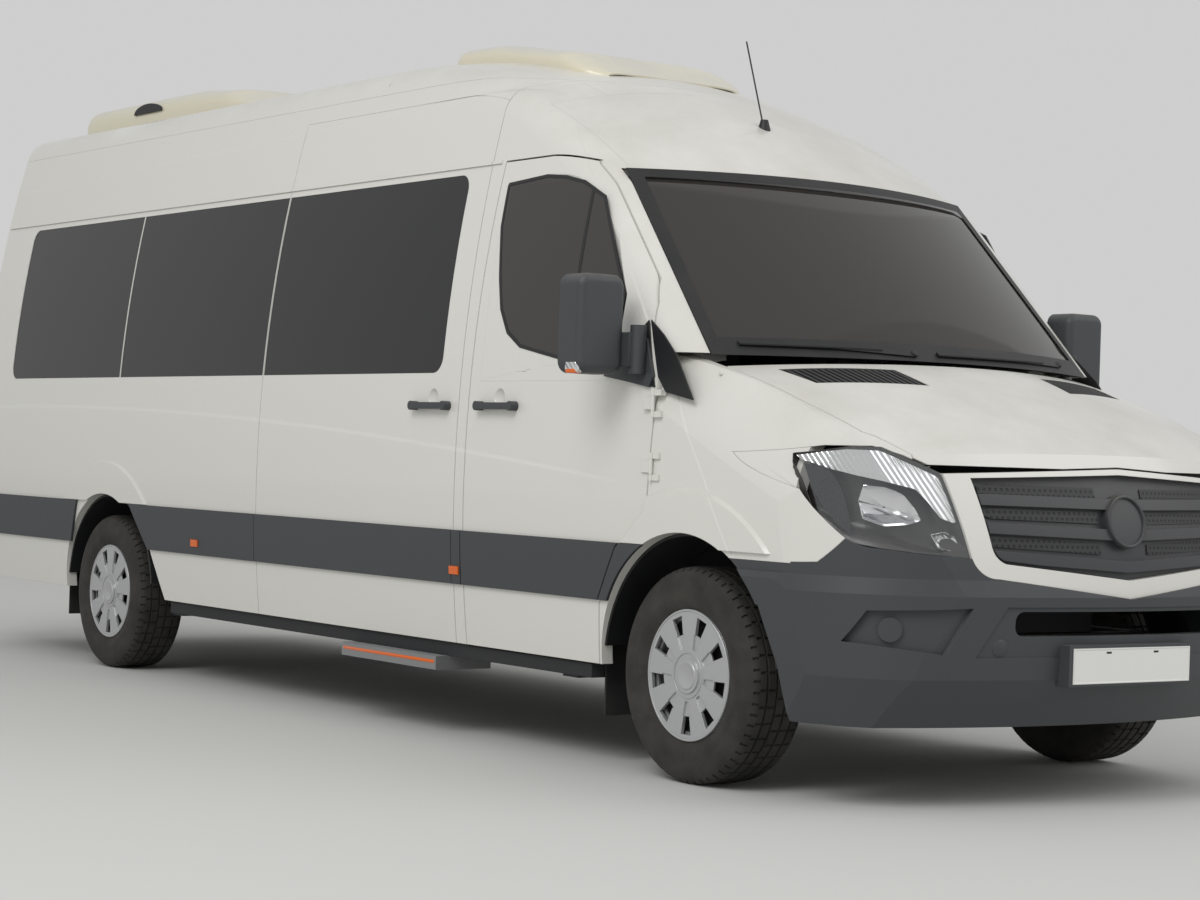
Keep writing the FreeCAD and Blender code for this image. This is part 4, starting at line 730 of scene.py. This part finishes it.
def grilleBand(side, ends):
    near, far = grilleBands["reach"]

    def place(u, v):
        y = side * (near + (far - near) * u)
        middle = ends[1] + (ends[0] - ends[1]) * abs(y) / grilleBands["rowSpan"]
        half = grilleBands["half"] * (1 if u < grilleBands["taperFrom"] else
                                      grilleBands["taper"])
        z = middle + half * (2 * v - 1)
        return Vector((noseX(y, z, grilleBands["inset"]), y, z))

    return settle(sheet(40, 3, place, grilleBands["thick"]))


give(joinPieces([grilleBand(side, ends) for side in (-1, 1) for ends in grilleBands["rows"]],
                "perforatedBands"), "perforatedBands", "body", "grille_plastic", perforated)


# Plain boss: a rolled rim round its bare face
boss = {"rings": [(0.0, 0.084), (0.0065, 0.0825), (0.0085, 0.078), (0.0065, 0.0735),
                  (0.0, 0.072), (0.0, 0.084)],
        "height": 0.888, "touchY": 0.084, "inset": 0.003, "lean": -11, "segments": 96}
bossRim = settle(turnedProfile(boss["rings"], boss["segments"]))
bossFace = noseX(boss["touchY"], boss["height"], boss["inset"])
bossRim.data.transform(Matrix.Translation((bossFace, 0, boss["height"])) @
                       Matrix.Rotation(math.radians(boss["lean"]), 4, "Y") @
                       Matrix.Rotation(-math.pi / 2, 4, "Z"))
give(bossRim, "bossRim", "body", "grille_plastic")
print("grille done")

# Paint where the solids lack it: over the slot across the roof at the cap's start, between the
# split line and the brow, and on the fender behind each headlamp
skinFill = {"capCentre": (0.18, -0.375), "capRadius": 3.0, "half": 0.4995, "split": 2.440,
            "brow": 1.2995, "thick": 0.045, "slotStart": 0.1801, "slotHalf": 0.763,
            "slotRamp": (0.250, 2.543), "slotProbe": 0.300, "shoulder": (0.677, 0.104),
            "lampEnd": 3.000}


def roofLevel(x, y):
    centreX, centreZ = skinFill["capCentre"]
    ahead = max(x - centreX, 0.0)
    return centreZ + math.sqrt(skinFill["capRadius"] ** 2 - ahead * ahead - y * y)


def roofFill():
    centreX, centreZ = skinFill["capCentre"]
    radius = skinFill["capRadius"]

    def browPlace(u, v):
        y = skinFill["half"] * (2 * v - 1)
        edge = centreX + math.sqrt(radius ** 2 - (skinFill["split"] - centreZ) ** 2 - y * y)
        x = edge + (skinFill["brow"] - edge) * u
        return Vector((x, y, roofLevel(x, y)))

    # The slot's front side climbs at 45 degrees from the ramp's foot until it meets the skin
    def slotPlace(u, v):
        y = skinFill["slotHalf"] * (2 * v - 1)
        turnFrom, turnRadius = skinFill["shoulder"]
        past = max(abs(y) - turnFrom, 0.0)
        drop = turnRadius - math.sqrt(turnRadius ** 2 - past * past)
        rampX, rampZ = skinFill["slotRamp"]
        edge = rampX + roofLevel(skinFill["slotProbe"], y) - drop - rampZ
        x = skinFill["slotStart"] + (edge - skinFill["slotStart"]) * u
        return Vector((x, y, roofLevel(x, y) - drop))

    fills = [sheet(8, 40, browPlace, skinFill["thick"]),
             sheet(4, 96, slotPlace, skinFill["thick"])]
    give(settle(joinPieces(fills, "roofSkin")), "roofSkin", "body", "body_paint")


def fenderFill():
    lamp = nodes["headlamps"]
    piece = copyOf(lamp, "fenderSkin", lamp.matrix_world)
    openEdit(piece)
    bpy.ops.mesh.select_all(action="SELECT")
    bpy.ops.mesh.remove_doubles(threshold=weldGap)
    bpy.ops.mesh.bisect(plane_co=(skinFill["lampEnd"], 0, 0), plane_no=(1, 0, 0),
                        clear_outer=True, use_fill=True)
    closeEdit()
    give(settle(piece), "fenderSkin", "body", "body_paint")


roofFill()
fenderFill()
print("skins done")


# Windscreen: the black ceramic band fired on its edge, on the outer face of the glass
fritShape = {"top": (0.783, 2.033), "foot": (0.862, 1.378), "bow": 0.010, "side": 0.045,
             "head": 0.030, "sill": 0.060, "out": -0.0022, "thick": 0.0006}


def fritBand():
    (topY, topZ), (footY, footZ) = fritShape["top"], fritShape["foot"]
    side, head, sill, bow = (fritShape[k] for k in ("side", "head", "sill", "bow"))
    innerTop, innerFoot = (topY - side, topZ - head), (footY - side, footZ + sill)
    edges = [((-topY, topZ), (topY, topZ), (-innerTop[0], innerTop[1]), innerTop, 1),
             ((footY, footZ), (-footY, footZ), innerFoot, (-innerFoot[0], innerFoot[1]), 1),
             ((topY, topZ), (footY, footZ), innerTop, innerFoot, 0),
             ((-footY, footZ), (-topY, topZ), (-innerFoot[0], innerFoot[1]),
              (-innerTop[0], innerTop[1]), 0)]
    strips = []
    for a, b, c, d, bowed in edges:
        def place(u, v):
            spot = Vector(c).lerp(Vector(d), u).lerp(Vector(a).lerp(Vector(b), u), v)
            rise = bow * bowed * (1 - (2 * u - 1) ** 2)
            return screenPoint(spot[0], spot[1] + rise, fritShape["out"])

        strips.append(sheet(40, 2, place, fritShape["thick"], 0.0))
    give(settle(joinPieces(strips, "fritBand")), "fritBand", "body", "trim_plastic")


fritBand()


# Wipers, parked along the foot of the screen: a flat blade in its holder and a tapered arm.
# A strip is its width at both ends, how far it stands out, its thickness and its lift.
wiperShape = {"places": [((-0.763, 1.408), (-0.277, 1.410), (-0.150, 1.400)),
                         ((-0.049, 1.403), (0.527, 1.405), (0.655, 1.403))],
              "blade": (0.013, 0.013, 0.0, 0.007, 0.010),
              "holder": (0.005, 0.005, 0.006, 0.003, 0.012),
              "arm": (0.020, 0.009, 0.004, 0.005, 0.014),
              "knob": {"radius": 0.013, "depth": 0.010, "bevel": 0.002}}


def wiper(tip, heel, pivot):
    def lineStrip(start, end, wide, narrow, out, thick, lift):
        def place(u, v):
            spot = Vector(start).lerp(Vector(end), u)
            half = (wide + (narrow - wide) * u) / 2
            return screenPoint(spot[0], spot[1] + lift + half * (2 * v - 1), out)

        return sheet(24, 2, place, thick, 1.0)

    middle = Vector(tip).lerp(Vector(heel), 0.5)
    blade = lineStrip(tip, heel, *wiperShape["blade"])
    holder = lineStrip(tip, heel, *wiperShape["holder"])
    arm = lineStrip(pivot, middle, *wiperShape["arm"])
    out, lift = wiperShape["arm"][2], wiperShape["arm"][4]
    form = wiperShape["knob"]
    knob = addPrimitive("cylinder", vertices=32, radius=form["radius"], depth=form["depth"],
                        location=screenPoint(pivot[0], pivot[1] + lift, out),
                        rotation=(0, math.radians(45), 0))
    applyModifier(knob, "BEVEL", width=form["bevel"], segments=2)
    return settle(joinPieces([blade, holder, arm, knob], "wiper"))


for number, (tip, heel, pivot) in enumerate(wiperShape["places"], 1):
    give(wiper(tip, heel, pivot), "wiper%d" % number, "body", "trim_plastic")
print("screen done")


# Side glass of the front doors: a sloping sill and rounded corner, a rubber edge and a bar
doorGlass = {
    "curve": [(1.2345, 2.004), (1.236, 1.852), (1.278, 1.665), (1.314, 1.549), (1.374, 1.462),
              (1.465, 1.410), (1.708, 1.367), (1.944, 1.327), (2.048, 1.310)],
    "corner": [(1.2325, 2.004), (1.2325, 1.852), (1.2325, 1.665), (1.2325, 1.500),
               (1.2325, 1.292), (1.465, 1.292), (1.708, 1.292), (1.944, 1.292), (2.048, 1.292)],
    "rim": [(1.246, 2.006), (1.248, 1.852), (1.290, 1.668), (1.326, 1.556), (1.383, 1.473),
            (1.468, 1.422), (1.710, 1.379), (1.946, 1.339), (2.044, 1.322)],
    "topOut": [(1.238, 2.011), (1.480, 2.026), (1.600, 2.014), (1.720, 1.988), (1.860, 1.926),
               (1.962, 1.752), (2.061, 1.580), (2.051, 1.396)],
    "topIn": [(1.244, 1.999), (1.480, 2.014), (1.597, 2.002), (1.715, 1.976), (1.850, 1.917),
              (1.950, 1.746), (2.049, 1.577), (2.039, 1.396)],
    "bar": [(1.772, 1.960), (1.756, 1.360)], "barWide": 0.016, "thin": 0.0028,
    "proud": -0.0006,
    "plateTop": [(2.150, 1.440), (2.212, 1.489)], "plateLow": [(2.150, 1.290), (2.279, 1.268)]}


def sidePatch(outer, inner, columns, rows, inset, thick):
    def place(u, v):
        spot = matched(inner, u).lerp(matched(outer, u), v)
        return Vector((spot[0], -(sideY(spot[1]) - inset), spot[1]))

    return settle(sheet(columns, rows, place, thick, 0.0))


def doorWindows():
    curve, thin, proud = doorGlass["curve"], doorGlass["thin"], doorGlass["proud"]
    door = "front_door_{}"
    pane = sidePatch(doorGlass["topOut"], curve, 56, 24, 0.0010, 0.0030)
    corner = sidePatch(doorGlass["corner"], curve, 64, 4, 0.0014, thin)
    rubber = joinPieces([sidePatch(curve, doorGlass["rim"], 64, 2, proud, thin),
                         sidePatch(doorGlass["topOut"], doorGlass["topIn"], 56, 2, proud, thin)],
                        "rubber")
    front = [(x + doorGlass["barWide"], z) for x, z in doorGlass["bar"]]
    bar = sidePatch(front, doorGlass["bar"], 12, 1, proud, thin)
    plate = sidePatch(doorGlass["plateTop"], doorGlass["plateLow"], 8, 8, -0.0020, 0.005)
    giveBothSides([(pane, "doorPane", door, "clear_glass", None, (door + "_glass",)),
                   (corner, "windowCorner", door, "body_paint", None, ()),
                   (rubber, "windowRubber", door, "trim_plastic", None, ()),
                   (bar, "windowBar", door, "trim_plastic", None, ()),
                   (plate, "mirrorPlate", door, "trim_plastic", None, ())])


doorWindows()


# Fixed corner trim ahead of each door, mirror glass, and the clear repeater on the mirror
mirrorShape = {"trimTop": [(2.224, 1.490), (2.300, 1.440), (2.381, 1.371), (2.486, 1.230)],
               "trimLow": [(2.224, 1.488), (2.292, 1.302), (2.340, 1.252), (2.486, 1.226)],
               "glass": ((2.0655, 2.0695), (-1.2000, -1.0430), (1.3380, 1.6160)),
               "repeater": ((2.096, 2.168), (-1.2126, -1.1800), (1.3065, 1.3900)),
               "amber": ((2.104, 2.160), (-1.2129, -1.1830), (1.3045, 1.3230))}


def block(spans, bevel, segments=3):
    middle = [(a + b) / 2 for a, b in spans]
    piece = addPrimitive("cube", size=1, location=middle, scale=[b - a for a, b in spans])
    bpy.ops.object.transform_apply(location=True, rotation=True, scale=True)
    if bevel:
        applyModifier(piece, "BEVEL", width=bevel, segments=segments)
    return settle(piece)


cornerTrim = sidePatch(mirrorShape["trimTop"], mirrorShape["trimLow"], 24, 6, -0.0015, 0.005)
giveBothSides([
    (cornerTrim, "cornerTrim", "body", "trim_plastic", None, ()),
    (block(mirrorShape["glass"], 0.0012, 2), "mirrorGlass", "front_door_{}", "trim_plastic",
     mirrorSilver, ()),
    (block(mirrorShape["repeater"], 0.012, 4), "repeater", "front_door_{}", "lamp_clear",
     chromeFluted, ()),
    (block(mirrorShape["amber"], 0.006), "repeaterAmber", "front_door_{}", "lamp_amber",
     None, ())])
print("door trim done")


# Blank number plate with a pressed rim and its two fixing slots, in place of the flat one
plateShape = {"back": 3.4771, "face": 3.4785, "rim": 3.4797, "half": (0.2595, 0.0545),
              "middle": 0.448, "edge": (0.004, 0.0015),
              "slots": [(-0.105, 0.488), (0.105, 0.488)], "slotHalf": (0.011, 0.003),
              "slotSpan": (-0.0004, 0.0006), "slotBevel": 0.0004}


def numberPlate():
    halfY, halfZ = plateShape["half"]
    middle = plateShape["middle"]
    plate = block(((plateShape["back"], plateShape["rim"]), (-halfY, halfY),
                   (middle - halfZ, middle + halfZ)), 0)
    openEdit(plate)
    pickFaces(lambda c, n: n.x > 0.9)
    rim, fall = plateShape["edge"]
    bpy.ops.mesh.inset(thickness=rim)
    bpy.ops.mesh.inset(thickness=fall, depth=plateShape["face"] - plateShape["rim"])
    closeEdit()
    give(settle(plate), "pressedPlate", "body", "plate_white", None, ("number_plate",))
    deep = [plateShape["face"] + part for part in plateShape["slotSpan"]]
    wide, high = plateShape["slotHalf"]
    marks = [block((deep, (y - wide, y + wide), (z - high, z + high)),
                   plateShape["slotBevel"], 1) for y, z in plateShape["slots"]]
    give(joinPieces(marks, "plateSlots"), "plateSlots", "body", "trim_plastic")


numberPlate()


# Roof pods: fibreglass shells, crowned, low at the front, in place of the plain blocks
podShape = {
    "front": {"x": (0.00, 1.04), "half": 0.40, "top": [(0.0, 2.58), (0.05, 2.675), (0.12, 2.690),
              (0.35, 2.680), (0.8, 2.600), (1.0, 2.50)], "round": 0.16},
    "rear": {"x": (-3.365, -1.310), "half": 0.52, "top": [(0.0, 2.60), (0.03, 2.700),
             (0.08, 2.735), (0.62, 2.7345), (0.80, 2.700), (1.0, 2.55)], "round": 0.10},
    "thick": 0.006, "sunk": 0.012, "lip": 0.002, "pinch": (0.22, 2.5), "square": (0.45, 0.42),
    "vent": {"x": (-2.66, -2.36), "z": 2.640, "high": 0.045, "thick": 0.012}}


def podShell(key):
    form = podShape[key]
    (x0, x1), half, level = form["x"], form["half"], form["top"]
    (pinch, pinchPower), (squareAcross, squareUp) = podShape["pinch"], podShape["square"]

    def heightAt(u):
        for (a, high), (b, nextHigh) in zip(level, level[1:]):
            if u <= b:
                return high + (nextHigh - high) * (u - a) / (b - a)
        return level[-1][1]

    def place(u, v):
        x = x0 + (x1 - x0) * u
        near = min(u, 1 - u) / form["round"]
        plan = half * (1 - pinch * max(0.0, 1 - near) ** pinchPower)
        angle = math.pi * v
        y = -plan * math.copysign(abs(math.cos(angle)) ** squareAcross, math.cos(angle))
        foot = roofLevel(x, y) - podShape["sunk"]
        crown = max(heightAt(u), foot + podShape["lip"])
        rise = (crown - foot) * max(math.sin(angle), 0.0) ** squareUp
        return Vector((x, y, foot + rise))

    return settle(sheet(72, 64, place, podShape["thick"]), smooth=50)


def roofPods():
    shells = joinPieces([podShell("front"), podShell("rear")], "roofPods")
    give(shells, "roofPods", "body", "pod_shell", None, ("air_con_pods",))
    vent = podShape["vent"]
    (x0, x1), base, high = vent["x"], vent["z"], vent["high"]
    half = podShape["rear"]["half"]
    for name, side in sides:
        arch = sheet(24, 4, lambda u, v: Vector((
            x0 + (x1 - x0) * u, side * (half + podShape["lip"]),
            base + high * v * math.sqrt(max(1 - (2 * u - 1) ** 2, 0.0)))), vent["thick"], 0.0)
        give(settle(arch), "podVent" + name.title(), "body", "trim_plastic")


roofPods()


# Round towing-eye cover in the bumper's face, a shallow cap with a gap around it
towCover = {"place": (3.4005, -0.496, 0.502), "turn": (6.0, -11.5), "segments": 48,
            "rings": [(-0.002, 0.0275), (0.0030, 0.0270), (0.0042, 0.0250),
                      (0.0046, 0.0010), (-0.002, 0.0010), (-0.002, 0.0275)]}


def towCap():
    cap = settle(turnedProfile(towCover["rings"], towCover["segments"]))
    tilt, yaw = (math.radians(a) for a in towCover["turn"])
    cap.data.transform(Matrix.Translation(towCover["place"]) @ Matrix.Rotation(yaw, 4, "Z") @
                       Matrix.Rotation(tilt, 4, "Y") @ Matrix.Rotation(-math.pi / 2, 4, "Z"))
    give(cap, "towCover", "body", "bumper_plastic")


towCap()


# Side step: a coloured warning strip in its outer edge and a ribbed tread on top
stepShape = {"strip": ((0.372, 1.028), (-1.0012, -0.9985), (0.266, 0.278)),
             "ribs": 7, "ribZ": (0.2905, 0.2925), "ribX": (0.37, 1.03), "ribY": (-0.985, -0.945)}


def stepTrim():
    give(block(stepShape["strip"], 0.001, 2), "stepStrip", "body", "lamp_amber")
    y0, y1 = stepShape["ribY"]
    pitch = (y1 - y0) / stepShape["ribs"]
    ribs = [block((stepShape["ribX"], (y0 + pitch * i, y0 + pitch * (i + 0.5)),
                   stepShape["ribZ"]), 0.0006, 1) for i in range(stepShape["ribs"])]
    give(joinPieces(ribs, "stepRibs"), "stepRibs", "body", "step_metal")


stepTrim()


# Handle of the left rear door: a grip on its two feet
rearHandle = {"grip": ((-3.4620, -3.4480), (0.050, 0.215), (1.008, 1.036)),
              "feet": [((-3.4500, -3.4340), (0.054, 0.082), (1.006, 1.038)),
                       ((-3.4500, -3.4340), (0.184, 0.212), (1.006, 1.038))]}
handleParts = [block(rearHandle["grip"], 0.006)]
handleParts += [block(foot, 0.004) for foot in rearHandle["feet"]]
give(joinPieces(handleParts, "rearHandle"), "rearHandle", "rear_door_left", "trim_plastic")
print("small parts done")


# Seats: crowned cushion, leaning back, head pad, and a frame with its foot, shared by all rows
seatRows = {"rows": [(-0.10, False), (-0.78, True), (-1.46, True), (-2.14, True),
                     (-2.82, True)], "across": (0.205, 0.640), "right": -0.640, "floor": 0.620,
            "front": (1.68, 0.43, 0.560), "footShift": {0.205: 0.0, 0.640: -0.15, -0.640: 0.15}}
seatShape = {"half": 0.200, "cushion": (-0.425, -0.005), "base": (0.333, 0.440),
             "cushionBevel": 0.028, "restFoot": (-0.408, 0.445), "restHead": (-0.500, 1.040),
             "restThick": 0.085, "restTaper": 0.06, "restBevel": 0.026, "swell": 0.008,
             "voxel": 0.014, "pressure": 4, "frames": 20, "smooth": 60,
             "head": ((-0.560, -0.500), (-0.120, 0.120), (0.950, 1.085)), "headBevel": 0.024,
             "frame": [(((-0.38, -0.06), (-0.015, 0.015), (0.02, 0.332)), 0.006),
                       (((-0.41, -0.02), (-0.190, 0.190), (0.318, 0.3345)), 0.006),
                       (((-0.38, -0.06), (-0.020, 0.020), (0.001, 0.020)), 0.004)]}


# The pads are made smaller by the swell that the cloth then gives back
def cushionBlock():
    swell, half = seatShape["swell"], seatShape["half"] - seatShape["swell"]
    (x0, x1), (z0, z1) = seatShape["cushion"], seatShape["base"]
    return block(((x0 + swell, x1 - swell), (-half, half), (z0, z1 - swell)),
                 seatShape["cushionBevel"], 4)


def restBlock():
    swell, half = seatShape["swell"], seatShape["half"] - seatShape["swell"]
    (footX, footZ), (headX, headZ) = seatShape["restFoot"], seatShape["restHead"]
    thick = seatShape["restThick"]
    pad = block(((-thick / 2, thick / 2 - swell), (-half, half), (0, 1)), 0)
    openEdit(pad, "VERT")
    mesh = bmesh.from_edit_mesh(pad.data)
    for vertex in mesh.verts:
        share = vertex.co.z
        vertex.co.x += footX + (headX - footX) * share
        vertex.co.z = footZ + (headZ - footZ) * share
        vertex.co.y *= 1 - seatShape["restTaper"] * share
    bmesh.update_edit_mesh(pad.data)
    closeEdit()
    applyModifier(pad, "BEVEL", width=seatShape["restBevel"], segments=4)
    return settle(pad)


# Cloth under pressure, no vertex of which moves further than the swell
def swollen(pad):
    applyModifier(pad, "REMESH", mode="VOXEL", voxel_size=seatShape["voxel"])
    start = [vertex.co.copy() for vertex in pad.data.vertices]
    cloth = pad.modifiers.new("Cloth", "CLOTH")
    cloth.settings.use_pressure = True
    cloth.settings.uniform_pressure_force = seatShape["pressure"]
    cloth.settings.effector_weights.gravity = 0
    for frameNumber in range(1, seatShape["frames"] + 1):
        bpy.context.scene.frame_set(frameNumber)
    pick(pad)
    bpy.ops.object.modifier_apply(modifier="Cloth")
    bpy.context.scene.frame_set(1)
    for vertex, place in zip(pad.data.vertices, start):
        move = vertex.co - place
        if move.length > seatShape["swell"]:
            vertex.co = place + move * (seatShape["swell"] / move.length)
    return settle(pad, smooth=seatShape["smooth"])


cushion = swollen(cushionBlock())
rest = swollen(restBlock())
headPad = block(seatShape["head"], seatShape["headBevel"], 4)
print("pads swollen")
seatFrame = joinPieces([block(*part) for part in seatShape["frame"]], "seatFrame")


def seatCopies(places, name, replaced):
    for piece, part, slotName in (
            (cushion, "Cushion", "seat_fabric"), (rest, "Rest", "seat_fabric"),
            (headPad, "HeadPad", "seat_fabric"), (seatFrame, "Frame", "step_metal")):
        copies = []
        for x, y, z in places:
            shift = seatRows["footShift"].get(y, 0.0) if part == "Frame" else 0.0
            copies.append(copyOf(piece, "seat", Matrix.Translation((x, y + shift, z))))
        whole = joinPieces(copies, name + part)
        give(whole, name + part, "body", slotName, None, (replaced,) if part == "Cushion" else ())


passengerPlaces = [(x, y, seatRows["floor"]) for x, right in seatRows["rows"]
                   for y in seatRows["across"] + ((seatRows["right"],) if right else ())]
frontX, frontY, frontFloor = seatRows["front"]
frontPlaces = [(frontX, side * frontY, frontFloor) for side in (1, -1)]
seatCopies(passengerPlaces, "cabinSeat", "passenger_seats")
seatCopies(frontPlaces, "cabSeat", "front_seats")
for piece in (cushion, rest, headPad, seatFrame):
    bpy.data.objects.remove(piece)
print("seats done")

# Floor, light and camera
stage = {"floorSize": 60.0, "floorColour": "c9c9c6", "keyPower": 620.0, "fillPower": 260.0,
         "world": 0.62}


def studioFloor():
    floor = addPrimitive("plane", size=stage["floorSize"], location=(0, 0, 0))
    floor.name = "studioFloor"
    finish = newMaterial("studioFloor", stage["floorColour"], {"Roughness": 0.9})
    floor.data.materials.append(finish[0])


def studioLight():
    world = bpy.data.worlds.new("studio")
    bpy.context.scene.world = world
    world.use_nodes = True
    background = world.node_tree.nodes["Background"]
    background.inputs["Color"].default_value = linear("ffffff")
    background.inputs["Strength"].default_value = stage["world"]
    for name, place, size, power in (
            ("keyLamp", (6.0, -9.0, 9.0), 6.0, stage["keyPower"]),
            ("fillLamp", (9.0, 6.0, 7.0), 8.0, stage["fillPower"])):
        data = bpy.data.lights.new(name, "AREA")
        data.size = size
        data.energy = power
        lamp = bpy.data.objects.new(name, data)
        lamp.location = place
        aim = (Vector((0.5, 0, 1.0)) - Vector(place)).to_track_quat("-Z", "Y")
        lamp.rotation_euler = aim.to_euler()
        bpy.context.scene.collection.objects.link(lamp)


view = {"place": (8.861, -5.926, 1.041), "yaw": 144.2464, "pitch": 0.1224, "roll": 1.8691,
        "lens": 76.1, "sensor": 36.0}


def photoCamera():
    yaw, pitch, roll = (math.radians(view[k]) for k in ("yaw", "pitch", "roll"))
    data = bpy.data.cameras.new("photoCamera")
    data.lens = view["lens"]
    data.sensor_width = view["sensor"]
    camera = bpy.data.objects.new("photoCamera", data)
    camera.matrix_world = (
        Matrix.Translation(view["place"]) @ Matrix.Rotation(yaw - math.pi / 2, 4, "Z") @
        Matrix.Rotation(math.pi / 2 + pitch, 4, "X") @ Matrix.Rotation(roll, 4, "Z"))
    bpy.context.scene.collection.objects.link(camera)
    bpy.context.scene.camera = camera


studioFloor()
studioLight()
photoCamera()
bpy.context.scene.view_settings.view_transform = "Standard"
print("stage set")
